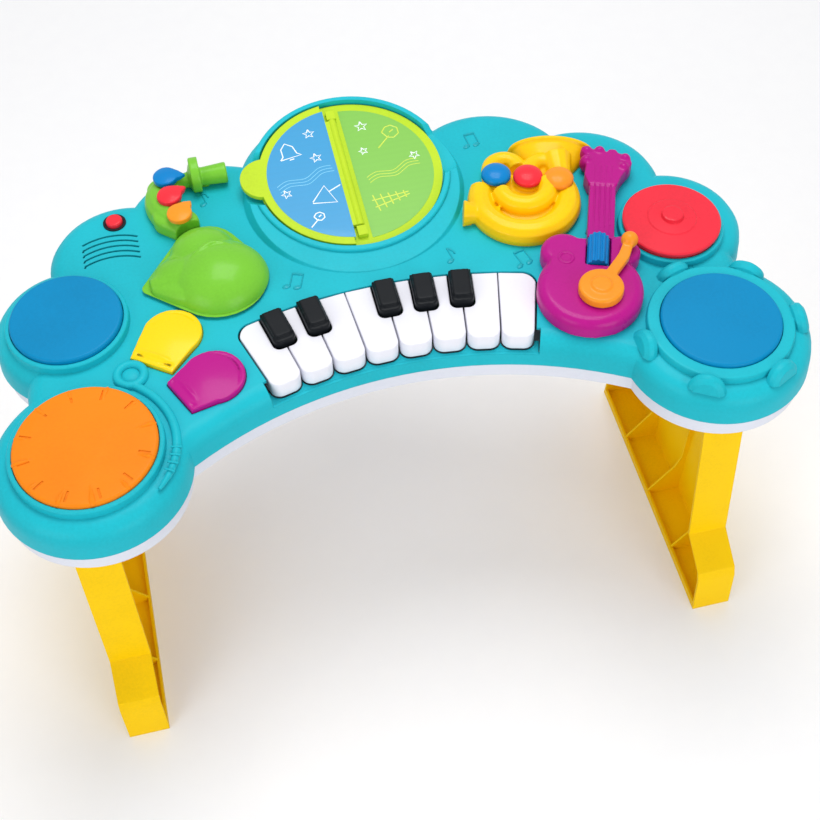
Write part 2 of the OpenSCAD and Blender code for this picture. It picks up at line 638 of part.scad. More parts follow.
// Maraca buttons as [place, head radius, neck length, neck end width, bearing of the neck]
YELLOW = [[-172.2, 95.4], 23.4, 34.5, 37, -126];
PURPLE = [[-147, 45.2], 24.6, 31.5, 34.5, -154.5];
maraca_z = deck_z + maraca_h;
maraca_flange = 1.6;
module maraca_plan(m, grow) {
    circle(r = m[1] + grow, $fn = 72);
    polygon([[0, -m[1] - grow], [m[2] + grow, -m[3] / 2 - grow], [m[2] + grow, m[3] / 2 + grow],
        [0, m[1] + grow]]);
}
module maraca_hole(m) at(m[0], under_z - 1, m[4]) linear_extrude(deck_t + 2) maraca_plan(m, head_gap);
module maraca(m) at(m[0], 0, m[4]) {
    intersection() {
        difference() {
            union() {
                translate([0, 0, flange_z - 4]) linear_extrude(maraca_z + 4 - flange_z + 4)
                    maraca_plan(m, 0);
                translate([0, 0, flange_z - flange_t]) linear_extrude(flange_t)
                    maraca_plan(m, maraca_flange);
            }
            translate([0, 0, flange_z - 5]) linear_extrude(maraca_z - flange_z + 5 - 2.4)
                maraca_plan(m, -2.4);
        }
        translate([6, 0, maraca_z]) crown(70, 190, 30);
    }
    translate([0, 0, stem_z]) cylinder(r = stem_r, h = maraca_z - 1 - stem_z);
}
module maraca_button_yellow() color([1.0, 0.85, 0.0]) placed() maraca(YELLOW);
module maraca_button_purple() color([0.75, 0.10, 0.55]) placed() maraca(PURPLE);

power_pos = [-204, 229];
module power_bezel() color([0.12, 0.12, 0.14]) placed() difference() {
    union() {
        disc(power_pos, power_r + 2.6, deck_z, deck_z + 1);
        disc(power_pos, power_r + 1.35, under_z, deck_z + 1);
    }
    disc(power_pos, power_r + 0.3, under_z - 1, deck_z + 2);
}
module power_button() color([0.88, 0.10, 0.16]) placed() {
    at(power_pos, under_z - 0.2) soft_disc(power_r, deck_t + 0.2 + 4.5, 2);
    disc(power_pos, power_r + 1.2, under_z - 1.8, under_z - 0.2);
    disc(power_pos, 2.5, stem_z, under_z);
}

// ---------------------------------------------------------------- saxophone
SAX_KEYS = [[-155, 252.5], [-154.5, 229.5], [-149, 207]];
peg_r = 3;
PEGS = [[-122, 256], [-165, 238], [105, 158], [165, 158], [150, 40], [180, 120]];
bell_a = [-128, 142];
bell_b = [-134, 176];
bell_lip = [-184, 146];
module bell_plan(grow) hull() {
    at(bell_a) circle(r = 40 + grow, $fn = 64);
    at(bell_b) circle(r = 28 + grow, $fn = 48);
    at(bell_lip) circle(r = 6 + grow, $fn = 24);
}
bell_plug = -4.4;
module bell_hole() translate([0, 0, under_z - 1]) linear_extrude(deck_t + 2)
    bell_plan(bell_plug + head_gap);
bell_z = deck_z + button_travel + 0.4;
ear_reach = 8;
module ear_room() translate([0, fan_v, flange_z - flange_t - 1])
    cylinder(r = hinge_r + ear_reach, h = flange_t + 1.4, $fn = 200);
module saxophone_bell() color([0.45, 0.78, 0.24]) placed() difference() {
    bell_form();
    ear_room();
}
module bell_form() {
    hull() {
        at(bell_a, bell_z) dome(40, bell_h, 32);
        at(bell_b, bell_z) dome(28, bell_h - 4, 24);
        at(bell_lip, bell_z) dome(6, 9, 16);
    }
    translate([0, 0, flange_z - flange_t]) linear_extrude(bell_z + 0.5 - flange_z + flange_t)
        bell_plan(bell_plug);
    translate([0, 0, flange_z - flange_t]) linear_extrude(flange_t) bell_plan(bell_plug + 2.4);
    disc(bell_a, stem_r, stem_z, under_z);
}
module saxophone_body() color([0.42, 0.76, 0.25]) placed() difference() {
    union() {
        hull() {
            at([-160, 250], deck_z) soft_disc(13, 12, 5, 24);
            at([-158, 216], deck_z) soft_disc(14, 14, 5, 24);
        }
        hull() {
            at([-158, 216], deck_z) soft_disc(14, 14, 5, 24);
            at([-148, 208], deck_z) soft_disc(14, 12, 5, 24);
        }
        at([-158, 257], deck_z + 7) rotate([0, 90, 0]) cylinder(r = 6, h = 30);
        at([-134, 257], deck_z + 12) rotate([0, 90, 0]) intersection() {
            cylinder(r = 15, h = 8);
            translate([-30, -30, -1]) cube([42, 60, 10]);
        }
        at([-128, 257], deck_z + 9) rotate([0, 90, 0]) cylinder(r1 = 7.5, r2 = 9, h = 24);
        for (i = [0, 1]) disc(PEGS[i], peg_r, under_z - 1, deck_z + 4);
    }
    for (p = SAX_KEYS) disc(p, stem_hole_r, deck_z - 1, deck_z + 30);
    bell_clearance();
}
module bell_clearance() translate([0, 0, deck_z - 1]) linear_extrude(40) bell_plan(0.8);
sax_key_z = deck_z + 14 + button_travel + 0.4;
module sax_key(p, turn) {
    at(p, sax_key_z, turn) intersection() {
        linear_extrude(6) {
            circle(r = 10.5, $fn = 48);
            polygon([[0, -10.5], [13, 3], [15, 8], [4, 10]]);
        }
        translate([2, 0, -34]) sphere(r = 40, $fn = 64);
    }
    disc(p, stem_r, stem_z, sax_key_z + 1);
}
module sax_key_blue() color([0.02, 0.50, 0.80]) placed() sax_key(SAX_KEYS[0], -30);
module sax_key_red() color([0.93, 0.12, 0.20]) placed() sax_key(SAX_KEYS[1], 0);
module sax_key_orange() color([1.0, 0.58, 0.10]) placed() sax_key(SAX_KEYS[2], 20);

// ---------------------------------------------------------------- trumpet
VALVES = [[118, 189], [143.5, 180.5], [168, 171.5]];
valve_top = deck_z + 13;
module tube_arc(p, r, from, sweep, z) at(p, z, from) rotate_extrude(angle = sweep, $fn = 96)
    translate([r, 0]) circle(r = tube_r, $fn = 40);
module trumpet_body() color([1.0, 0.80, 0.02]) placed() difference() {
    union() {
        intersection() {
            union() {
                tube_arc([135, 163], 38, 178, 196, deck_z + 5);
                tube_arc([138, 168], 21, 170, 200, deck_z + 10);
                tube_arc([134, 205], 11, -20, 220, deck_z + 6);
                tube_arc([170, 199], 10, -20, 220, deck_z + 6);
            }
            translate([0, 0, deck_z]) cylinder(r = big, h = 40, $fn = 24);
        }
        for (p = VALVES) disc(p, valve_r - 1, deck_z, valve_top);
        translate([0, 0, deck_z]) linear_extrude(9) strip(VALVES[0], VALVES[2], 12);
        hull() {
            at([186, 232], deck_z, -17) translate([-37, -5, 0]) cube([74, 8, 20]);
            at([176, 183], deck_z) cylinder(r = 10, h = 12, $fn = 32);
        }
        at([102, 160], deck_z + 7, 160) rotate([0, 90, 0]) cylinder(r1 = 5, r2 = 7, h = 14);
        at([90, 163], deck_z + 7.2, 160) rotate([0, 90, 0]) cylinder(r1 = 6, r2 = 14, h = 9);
        for (i = [2, 3]) disc(PEGS[i], peg_r, under_z - 1, deck_z + 4);
    }
    translate([0, 0, under_z - 20]) difference() {
        cylinder(r = big, h = 20 + deck_t, $fn = 24);
        for (i = [2, 3]) disc(PEGS[i], peg_r + 1, 0, 30);
    }
    for (p = VALVES) {
        disc(p, stem_hole_r, deck_z - 1, deck_z + 30);
        disc(p, valve_r + 0.8, valve_top, deck_z + 40);
    }
    at([184, 106], deck_z - 1, -guitar_turn) translate([-21, neck_len - 20, 0]) cube([50, 60, 40]);
}
valve_z = valve_top + button_travel + 0.4;
module valve_button(p) {
    at(p, valve_z) soft_disc(valve_r, valve_h, 3);
    disc(p, stem_r, stem_z, valve_z + 1);
}
module valve_button_blue() color([0.02, 0.50, 0.85]) placed() valve_button(VALVES[0]);
module valve_button_red() color([0.93, 0.18, 0.25]) placed() valve_button(VALVES[1]);
module valve_button_orange() color([0.97, 0.60, 0.12]) placed() valve_button(VALVES[2]);

// ---------------------------------------------------------------- guitar
lower_bout = [158, 53];
left_bout = [149, 95];
right_bout = [195, 84];
roller_pos = [175, 86];
guitar_z = deck_z + guitar_h;
roller_z = guitar_z - 4;
neck_len = 68;
module guitar_body() color([0.75, 0.10, 0.56]) placed() difference() {
    union() {
        at(lower_bout, deck_z) soft_disc(42.5, guitar_h, 8);
        at(left_bout, deck_z) soft_disc(19, guitar_h, 7);
        at(right_bout, deck_z) soft_disc(15, guitar_h, 6);
        translate([0, 0, deck_z]) linear_extrude(guitar_h) polygon([[134, 84], [149, 107], [196, 92],
            [203, 78], [185, 68], [135, 70]]);
        at([184, 106], deck_z, -guitar_turn) translate([-11, -16, 0]) cube([22, neck_len, 14]);
        at([184, 106], deck_z, -guitar_turn) translate([0, neck_len - 18, 0]) headstock();
        for (i = [4, 5]) disc(PEGS[i], peg_r, under_z - 1, deck_z + 4);
    }
    at(roller_pos, roller_z, -guitar_turn) translate([0, -roller_len / 2 - 1, 0])
        rotate([-90, 0, 0]) cylinder(r = roller_r + 1, h = roller_len + 2);
    at(roller_pos, roller_z, -guitar_turn) translate([-roller_r - 1, -roller_len / 2 - 1, 0])
        cube([2 * roller_r + 2, roller_len + 2, 20]);
    at(roller_pos, roller_z, -guitar_turn) translate([0, -roller_len / 2 - 4, 0])
        rotate([-90, 0, 0]) cylinder(r = axle_r, h = roller_len + 8, $fn = 32);
    disc(lever_pos, screw_r, guitar_z - 10, guitar_z + 1);
    disc(cymbal_pos, cymbal_r + head_gap - 1 + ring_w + 2, deck_z - 1, guitar_z + 1);
}
module headstock() linear_extrude(15) {
    polygon([[-12, 0], [12, 0], [15, 8], [24, 24], [22, 32], [12, 36], [-14, 34], [-16, 8]]);
    for (k = [0:2]) translate([-15 + k * 11, 37 - k]) circle(r = 5, $fn = 32);
}
axle_r = 1.5;
module roller_axle() color([0.75, 0.75, 0.78]) placed() at(roller_pos, roller_z, -guitar_turn)
    translate([0, -roller_len / 2 - 4, 0]) rotate([-90, 0, 0])
        cylinder(r = axle_r, h = roller_len + 8, $fn = 32);
module strum_roller() color([0.02, 0.55, 0.85]) placed() at(roller_pos, roller_z, -guitar_turn)
    translate([0, -roller_len / 2, 0]) rotate([-90, 0, 0]) linear_extrude(roller_len) difference() {
        union() {
            circle(r = roller_r - 1.2, $fn = 64);
            for (k = [0:11]) rotate(30 * k) translate([roller_r - 1.3, 0]) circle(r = 1.3, $fn = 16);
        }
        circle(r = axle_r + pin_gap, $fn = 32);
    }
lever_pos = [162.5, 43];
lever_z = guitar_z + 0.3;
ball_pos = [199.5, 83.5];
elbow_pos = [190, 69];
module whammy_lever() color([1.0, 0.60, 0.12]) placed() difference() {
    union() {
        at(lever_pos, lever_z) soft_disc(lever_r, lever_t, 2.5);
        hull() {
            at(lever_pos, lever_z + 1) cylinder(r = 4.5, h = lever_t - 2, $fn = 24);
            at(elbow_pos, lever_z + 2) cylinder(r = 4.5, h = lever_t - 2, $fn = 24);
        }
        hull() {
            at(elbow_pos, lever_z + 2) cylinder(r = 4.5, h = lever_t - 2, $fn = 24);
            at(ball_pos, lever_z + 4) cylinder(r = 4, h = lever_t - 3, $fn = 24);
        }
        at(ball_pos, lever_z + 7.5) sphere(r = 7, $fn = 48);
    }
    disc(lever_pos, screw_r + pin_gap, lever_z - 1, lever_z + lever_t);
    disc(lever_pos, screw_r + 2.5, lever_z + lever_t - 3, lever_z + lever_t + 1);
}
module lever_screw() color([0.72, 0.73, 0.76]) placed() {
    disc(lever_pos, screw_r, guitar_z - 10, lever_z + lever_t - 2.9);
    disc(lever_pos, screw_r + 2, lever_z + lever_t - 2.9, lever_z + lever_t - 1);
}

// ---------------------------------------------------------------- book
base_top = -page_t;
spine_u = -4;
barrel_r = page_t / 2 + 1.2;
barrel_z = base_top + page_t / 2;
spine_w = 8;
module half_disc(r, side, from) intersection() {
    circle(r = r, $fn = 120);
    translate([side > 0 ? from : -200 + from, -200]) square([200, 400]);
}
module book_base() color([0.72, 0.85, 0.20]) placed() on_book() difference() {
    union() {
        translate([0, 0, -book_stack]) linear_extrude(book_stack - page_t) circle(r = page_r, $fn = 120);
        for (s = [-1, 1]) translate([spine_u - spine_w / 2, s * (barrel_len / 2 + 6) - 5, -book_stack])
            cube([spine_w, 10, book_stack]);
    }
    translate([spine_u, -barrel_len / 2 - 0.8, barrel_z]) rotate([-90, 0, 0])
        cylinder(r = barrel_r + 0.5, h = barrel_len + 1.6);
    translate([spine_u, -barrel_len / 2 - 9, barrel_z]) rotate([-90, 0, 0])
        cylinder(r = page_pin_r, h = barrel_len + 18, $fn = 32);
}
tab_r = 21;
module book_page() color([0.0, 0.60, 0.82]) placed() on_book() difference() {
    union() {
        translate([0, 0, base_top + 0.3]) linear_extrude(page_t - 0.6) {
            difference() {
                half_disc(page_r - 0.4, -1, spine_u);
                for (s = [-1, 1]) translate([spine_u - 8, s * (barrel_len / 2 + 10) - 10.6])
                    square([20, 21.2]);
            }
            intersection() {
                translate([-page_r + 6, recess_v]) circle(r = tab_r, $fn = 64);
                translate([-200, recess_v - 20]) square([200 - page_r + 8, 60]);
            }
        }
        translate([spine_u, -barrel_len / 2, barrel_z]) rotate([-90, 0, 0])
            cylinder(r = barrel_r, h = barrel_len);
    }
    translate([spine_u, -barrel_len / 2 - 1, barrel_z]) rotate([-90, 0, 0])
        cylinder(r = page_pin_r + pin_gap, h = barrel_len + 2, $fn = 32);
}
module page_pin() color([0.75, 0.75, 0.78]) placed() on_book()
    translate([spine_u, -barrel_len / 2 - 9, barrel_z]) rotate([-90, 0, 0])
        cylinder(r = page_pin_r, h = barrel_len + 18, $fn = 32);

// ---------------------------------------------------------------- inside
module strip(a, b, w) translate([a.x, a.y]) rotate(atan2(b.y - a.y, b.x - a.x))
    translate([0, -w / 2]) square([norm(b - a), w]);
LEFT_SITES = concat([orange_pos, blue_pos, YELLOW[0], PURPLE[0], bell_a, power_pos], SAX_KEYS);
RIGHT_SITES = concat([tamb_pos, cymbal_pos], VALVES);
module board(sites, props, hub) translate([0, 0, board_z]) linear_extrude(board_t) difference() {
    union() {
        for (p = concat(sites, props)) {
            strip(hub, p, 12);
            translate([p.x, p.y]) circle(r = 9, $fn = 32);
        }
        translate([hub.x, hub.y]) circle(r = 16, $fn = 48);
    }
    for (p = SCREWS) translate(p) circle(r = post_r + 1, $fn = 32);
}
module left_board() color([0.10, 0.45, 0.25]) placed()
    board(LEFT_SITES, LEFT_POSTS, [-180, 120]);
module right_board() color([0.10, 0.45, 0.25]) placed()
    board(RIGHT_SITES, RIGHT_POSTS, [186, 110]);
module domes_at(sites) for (p = sites) at(p, board_z + board_t) dome(dome_r, dome_h);
module left_domes() color([0.85, 0.85, 0.82]) placed() domes_at(LEFT_SITES);
module right_domes() color([0.85, 0.85, 0.82]) placed() domes_at(RIGHT_SITES);

module speaker() color([0.20, 0.20, 0.22]) placed() at(speaker_pos, under_z) rotate([180, 0, 0]) {
    rotate_extrude($fn = 64) polygon([[0, 6], [9, 6], [speaker_r - 4, 0], [speaker_r, 0],
        [speaker_r, 2], [speaker_r - 4, 3], [12, 9], [12, 16], [0, 16]]);
}
function cell_x(k) = door_pos.x + (k - 1) * (2 * cell_r + 2);
cell_z = tray_z + wall + 1 + cell_r;
module batteries() color([0.30, 0.32, 0.36]) placed() for (k = [0:2])
    translate([cell_x(k), door_pos.y - door_d / 2 + wall + 2.2, cell_z]) rotate([-90, 0, 0])
        cylinder(r = cell_r, h = cell_len);
module battery_contacts() color([0.80, 0.80, 0.82]) placed() for (k = [0:2])
    translate([cell_x(k) - 5, door_pos.y - door_d / 2 + wall, cell_z - 5]) cube([10, 2, 10]);
module battery_door() color([0.88, 0.89, 0.92]) placed() difference() {
    translate([door_pos.x - door_w / 2 + wall + 0.3, door_pos.y - door_d / 2 + wall + 0.3, tray_z])
        cube([door_w - 2 * wall - 0.6, door_d - 2 * wall - 8.6, wall]);
    at(door_pos, tray_z - 1) cylinder(r = 5, h = 2);
}
module door_screw() color([0.72, 0.73, 0.76]) placed()
    at([door_pos.x, door_pos.y + door_d / 2 - 5.4], tray_z - 1.4) {
        cylinder(r = screw_r, h = 12);
        cylinder(r = screw_r + 2, h = 1.4);
    }
module housing_screws() color([0.72, 0.73, 0.76]) placed() for (p = SCREWS) {
    disc(p, screw_r, tray_z + 2.9, under_z - 8);
    disc(p, screw_r + 1.7, tray_z + 1.2, tray_z + 3);
}

top_shell();
base_shell();
leg_left();
leg_right();
white_key(1);  // white_key_1
white_key(2);  // white_key_2
white_key(3);  // white_key_3
white_key(4);  // white_key_4
white_key(5);  // white_key_5
white_key(6);  // white_key_6
white_key(7);  // white_key_7
white_key(8);  // white_key_8
black_key(1);  // black_key_1
black_key(2);  // black_key_2
black_key(3);  // black_key_3
black_key(4);  // black_key_4
black_key(5);  // black_key_5
drum_head_orange();
drum_head_blue();
tambourine_head();
cymbal();
maraca_button_yellow();
maraca_button_purple();
saxophone_body();
saxophone_bell();
sax_key_blue();
sax_key_red();
sax_key_orange();
trumpet_body();
valve_button_blue();
valve_button_red();
valve_button_orange();
guitar_body();
strum_roller();
roller_axle();
whammy_lever();
lever_screw();
book_base();
book_page();
page_pin();
power_bezel();
power_button();
key_bed();
key_board();
key_domes();
left_board();
left_domes();
right_board();
right_domes();
speaker();
batteries();
battery_contacts();
battery_door();
door_screw();
housing_screws();
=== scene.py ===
"""Dresses a child's musical activity table.

It adds the finishes, softened mouldings, keys, book prints and a studio.
"""
import logging
import math
from collections.abc import Callable, Iterable, Iterator, Sequence
from contextlib import contextmanager
from dataclasses import dataclass, field
from enum import Enum

import bpy
from mathutils import Matrix, Vector


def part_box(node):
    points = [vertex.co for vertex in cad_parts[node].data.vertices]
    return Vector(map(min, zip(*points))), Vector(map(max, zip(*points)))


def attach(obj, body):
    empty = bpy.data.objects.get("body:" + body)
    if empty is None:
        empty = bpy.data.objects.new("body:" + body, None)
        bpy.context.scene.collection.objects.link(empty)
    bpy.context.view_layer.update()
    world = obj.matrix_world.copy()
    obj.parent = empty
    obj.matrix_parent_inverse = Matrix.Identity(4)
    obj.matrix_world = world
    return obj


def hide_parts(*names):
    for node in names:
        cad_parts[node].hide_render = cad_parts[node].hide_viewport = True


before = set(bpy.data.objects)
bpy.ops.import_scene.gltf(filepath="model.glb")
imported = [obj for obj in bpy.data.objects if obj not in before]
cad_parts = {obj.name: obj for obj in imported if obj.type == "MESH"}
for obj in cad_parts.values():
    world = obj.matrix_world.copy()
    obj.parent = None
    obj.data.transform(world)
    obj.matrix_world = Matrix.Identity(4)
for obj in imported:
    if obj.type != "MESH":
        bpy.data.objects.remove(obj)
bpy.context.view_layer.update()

LOG = logging.getLogger("activity_table")
MM = 0.001
MID_V = 126.5
DECK_Z = 326.0
HEAD_Z = 336.0
LEDGE_Z = 310.0
WELD = 1e-5
FLAT = 0.6
Piece = bpy.types.Object
Place = tuple[float, float, float]
Colour = tuple[float, float, float, float]


def spot(u: float, v: float, z: float) -> Vector:
    """Turns millimetres to the right, behind the drum line and up into the frame's metres."""
    return Vector((u, v - MID_V, z)) * MM


def around(middle: Sequence[float], radius: float, bearing: float, z: float) -> Vector:
    """Gives the place at a distance and a bearing in degrees from a middle [u, v]."""
    angle = math.radians(bearing)
    return spot(middle[0] + radius * math.cos(angle), middle[1] + radius * math.sin(angle), z)


def srgb(red: int, green: int, blue: int) -> Colour:
    """Turns a display colour into the linear one that shaders take.

    Args:
        red: Red from 0 to 255.
        green: Green from 0 to 255.
        blue: Blue from 0 to 255.

    Returns:
        Linear red, green, blue and an alpha of 1.
    """
    parts = [c / 255 for c in (red, green, blue)]
    linear = [c / 12.92 if c <= 0.04045 else ((c + 0.055) / 1.055) ** 2.4 for c in parts]
    return (linear[0], linear[1], linear[2], 1.0)


def shaded(colour: Sequence[float], factor: float) -> Colour:
    """Makes a linear colour darker or lighter, at most white."""
    red, green, blue = (min(1.0, c * factor) for c in colour[:3])
    return (red, green, blue, 1.0)


# ------------------------------------------------------------------ shader building
class Link:
    """A shader socket whose operators add Math nodes."""

    def __init__(self, graph: "Graph", socket: bpy.types.NodeSocket) -> None:
        """Keeps the socket and the graph that it belongs to."""
        self.graph = graph
        self.socket = socket

    def _math(self, operation: str, first: "Link | float", second: "Link | float") -> "Link":
        """Adds one Math node on two values or links."""
        return self.graph.node("ShaderNodeMath", {"operation": operation}, {0: first, 1: second})

    def __add__(self, other: "Link | float") -> "Link":
        """Adds."""
        return self._math("ADD", self, other)

    def __mul__(self, other: "Link | float") -> "Link":
        """Multiplies."""
        return self._math("MULTIPLY", self, other)

    def __rsub__(self, other: float) -> "Link":
        """Subtracts from a number."""
        return self._math("SUBTRACT", other, self)

    def __gt__(self, other: float) -> "Link":
        """Gives 1 where the value is above the other."""
        return self._math("GREATER_THAN", self, other)

    def clamp(self) -> "Link":
        """Keeps the value between 0 and 1."""
        return self.graph.node("ShaderNodeClamp", {}, {"Value": self})


class Graph:
    """One material's node tree."""

    def __init__(self, name: str) -> None:
        """Makes an empty material with a Principled shader on its output.

        Args:
            name: The material's name.
        """
        self.material = bpy.data.materials.new(name)
        self.material.use_nodes = True
        self.tree = self.material.node_tree
        self.tree.nodes.clear()
        self.output = self.tree.nodes.new("ShaderNodeOutputMaterial")
        self.shader = self.tree.nodes.new("ShaderNodeBsdfPrincipled")
        self.tree.links.new(self.shader.outputs[0], self.output.inputs["Surface"])
        coordinates = self.tree.nodes.new("ShaderNodeTexCoord")
        self.place = Link(self, coordinates.outputs["Object"])

    def node(self, kind: str, settings: dict[str, object], values: dict[str | int, object],
             out: str | int = 0) -> Link:
        """Adds a node.

        Args:
            kind: The node's type.
            settings: Its own settings; "stops" holds a ramp's stops as (place, colour).
            values: Values or links of its sockets by name or number.
            out: The output that is wanted.

        Returns:
            A link from that output.
        """
        made = self.tree.nodes.new(kind)
        for key, value in settings.items():
            if key == "stops":
                self._stops(made.color_ramp, value)
            else:
                setattr(made, key, value)
        for key, value in values.items():
            self.feed(made.inputs[key], value)
        return Link(self, made.outputs[out])

    @staticmethod
    def _stops(ramp: bpy.types.ColorRamp, stops: Sequence[tuple[float, Sequence[float]]]) -> None:
        """Writes a colour ramp's stops."""
        while len(ramp.elements) < len(stops):
            ramp.elements.new(1.0)
        for element, (place, colour) in zip(ramp.elements, stops):
            element.position = place
            element.color = colour

    def feed(self, socket: bpy.types.NodeSocket, value: object) -> None:
        """Links or sets one input socket."""
        if isinstance(value, Link):
            self.tree.links.new(value.socket, socket)
        else:
            socket.default_value = value

    def set(self, **values: object) -> None:
        """Sets the Principled shader's inputs; an underscore in a name stands for a space."""
        for key, value in values.items():
            self.feed(self.shader.inputs[key.replace("_", " ")], value)

    def noise(self, scale: float, detail: float = 2.0, place: "Link | None" = None) -> Link:
        """Adds a noise pattern in cells to the metre on the object's or other coordinates."""
        return self.node("ShaderNodeTexNoise", {}, {"Vector": place or self.place, "Scale": scale,
                                                    "Detail": detail, "Roughness": 0.55})

    def blend(self, mask: "Link | float", first: object, second: object) -> Link:
        """Mixes two colours by a mask."""
        return self.node("ShaderNodeMix", {"data_type": "RGBA"}, {0: mask, 6: first, 7: second}, 2)

    def bump(self, strength: float, distance: float, height: Link, **more: object) -> Link:
        """Raises fine relief from a height pattern; further inputs go by name."""
        return self.node("ShaderNodeBump", {}, {"Strength": strength, "Distance": distance,
                                                "Height": height, **more})

    def moved(self, place: Vector, turn: float = 0.0, scale: Place = (1, 1, 1)) -> Link:
        """Centres the object's coordinates on a place, turned in radians and scaled."""
        shifted = self.node("ShaderNodeMapping", {}, {"Vector": self.place, "Location": -place})
        return self.node("ShaderNodeMapping", {}, {"Vector": shifted, "Rotation": (0, 0, turn),
                                                   "Scale": scale})


class Polish(Enum):
    """How a moulding's skin reflects: roughness and coat weight."""

    SATIN = (0.45, 0.02)
    GLOSSY = (0.3, 0.1)
    DULL = (0.62, 0.0)


@dataclass(frozen=True)
class Finish:
    """A named look that makes its material."""

    name: str

    def build(self, graph: Graph) -> None:
        """Builds the look.

        Args:
            graph: The material's nodes.
        """

    def make(self) -> bpy.types.Material:
        """Makes the material."""
        graph = Graph(self.name)
        self.build(graph)
        return graph.material


@dataclass(frozen=True)
class Moulded(Finish):
    """Injection-moulded plastic: mottled pigment, orange peel, flow streaks and handling marks."""

    colour: tuple[int, int, int]
    polish: Polish = Polish.SATIN
    shade: float = 0.12
    edge: float = 0.7
    grain: float = 0.05

    def build(self, graph: Graph) -> None:
        """Builds the look.

        Args:
            graph: The material's nodes.
        """
        base = srgb(*self.colour)
        clouds = graph.noise(9.0, 3.0)
        specks = graph.noise(420.0, 2.0)
        streaks = graph.noise(26.0, 4.0, graph.moved(Vector((0, 0, 0)), 0.5, (1, 5, 1)))
        stops = [(0.3, shaded(base, 1 - self.shade)), (0.52, base),
                 (0.8, shaded(base, 1 + self.shade / 2))]
        pigment = graph.node("ShaderNodeValToRGB", {"stops": stops},
                             {"Fac": clouds * 0.7 + specks * 0.3})
        rough, coat = self.polish.value
        graph.set(Base_Color=pigment, Coat_Roughness=0.12, IOR=1.42, Specular_IOR_Level=0.16,
                  Roughness=(streaks * 0.14 + specks * 0.05 + (rough - 0.09)).clamp(),
                  Coat_Weight=(coat - (streaks > 0.62) * (coat * 0.4)).clamp(),
                  Normal=self._relief(graph, specks, streaks))

    def _relief(self, graph: Graph, specks: Link, streaks: Link) -> Link:
        """Adds rounded edges and orange peel."""
        rounded = graph.node("ShaderNodeBevel", {"samples": 6}, {"Radius": self.edge * MM})
        return graph.bump(self.grain, 0.0006, specks * 0.8 + streaks * 0.2, Normal=rounded)


@dataclass(frozen=True)
class Steel(Finish):
    """Turned or drawn steel with fine drawing lines and a few dull spots."""

    tint: tuple[int, int, int] = (196, 198, 202)

    def build(self, graph: Graph) -> None:
        """Builds the look.

        Args:
            graph: The material's nodes.
        """
        lines = graph.noise(700.0, 2.0, graph.moved(Vector((0, 0, 0)), 0.35, (1, 0.08, 1)))
        spots = graph.noise(60.0, 3.0)
        base = srgb(*self.tint)
        graph.set(Base_Color=graph.blend(spots, shaded(base, 0.7), base), Metallic=1.0,
                  Roughness=(lines * 0.2 + spots * 0.12 + 0.14).clamp(),
                  Normal=graph.bump(0.15, 0.0002, lines))


@dataclass(frozen=True)
class CircuitBoard(Finish):
    """Green solder mask over copper tracks with tinned pads."""

    def build(self, graph: Graph) -> None:
        """Builds the look.

        Args:
            graph: The material's nodes.
        """
        tracks = graph.node("ShaderNodeTexBrick", {"offset": 0.37, "squash": 2.0}, {
            "Vector": graph.place, "Scale": 55.0, "Mortar Size": 0.06, "Color1": (0, 0, 0, 1),
            "Color2": (0.1, 0.1, 0.1, 1), "Mortar": (1, 1, 1, 1)}, 1)
        pads = graph.node("ShaderNodeTexVoronoi", {"feature": "F1"}, {
            "Vector": graph.place, "Scale": 130.0})
        tin = 1.0 - (pads > 0.16)
        mask = graph.blend(tracks, srgb(16, 92, 58), srgb(28, 128, 78))
        graph.set(Base_Color=graph.blend(tin, mask, srgb(206, 206, 200)), Metallic=tin * 0.9,
                  Roughness=0.38 - tin * 0.1, Normal=graph.bump(0.3, 0.0002, tracks + tin))


@dataclass(frozen=True)
class Rubber(Finish):
    """Translucent silicone with a dusty bloom."""

    colour: tuple[int, int, int] = (214, 214, 205)

    def build(self, graph: Graph) -> None:
        """Builds the look.

        Args:
            graph: The material's nodes.
        """
        bloom = graph.noise(160.0, 3.0)
        base = srgb(*self.colour)
        graph.set(Base_Color=graph.blend(bloom, base, shaded(base, 1.15)),
                  Roughness=(bloom * 0.2 + 0.5).clamp(),
                  Normal=graph.bump(0.1, 0.0004, bloom))


@dataclass(frozen=True)
class CellWrap(Finish):
    """A battery's printed wrap with a lighter band, and bare metal ends."""

    band_y: float
    end_y: float

    def build(self, graph: Graph) -> None:
        """Builds the look.

        Args:
            graph: The material's nodes.
        """
        along = graph.node("ShaderNodeSeparateXYZ", {}, {0: graph.place}, "Y")
        scuffs = graph.noise(300.0, 3.0)
        band = along > self.band_y
        metal = along > self.end_y
        wrap = graph.blend(band, srgb(58, 62, 72), srgb(226, 168, 60))
        graph.set(Base_Color=graph.blend(metal, wrap, srgb(200, 200, 204)), Metallic=metal,
                  Roughness=(scuffs * 0.2 + 0.28).clamp())


@dataclass(frozen=True)
class SpeakerCone(Finish):
    """A paper cone with pressed rings round its own centre."""

    centre: Vector

    def build(self, graph: Graph) -> None:
        """Builds the look.

        Args:
            graph: The material's nodes.
        """
        fibres = graph.noise(500.0, 4.0)
        rings = graph.node("ShaderNodeTexWave", {"wave_type": "RINGS", "rings_direction": "Z"}, {
            "Vector": graph.moved(self.centre), "Scale": 90.0, "Distortion": 0.4})
        graph.set(Base_Color=graph.blend(fibres, srgb(34, 34, 38), srgb(62, 62, 66)),
                  Roughness=(fibres * 0.2 + 0.7).clamp(),
                  Normal=graph.bump(0.4, 0.0006, rings * 0.7 + fibres * 0.3))


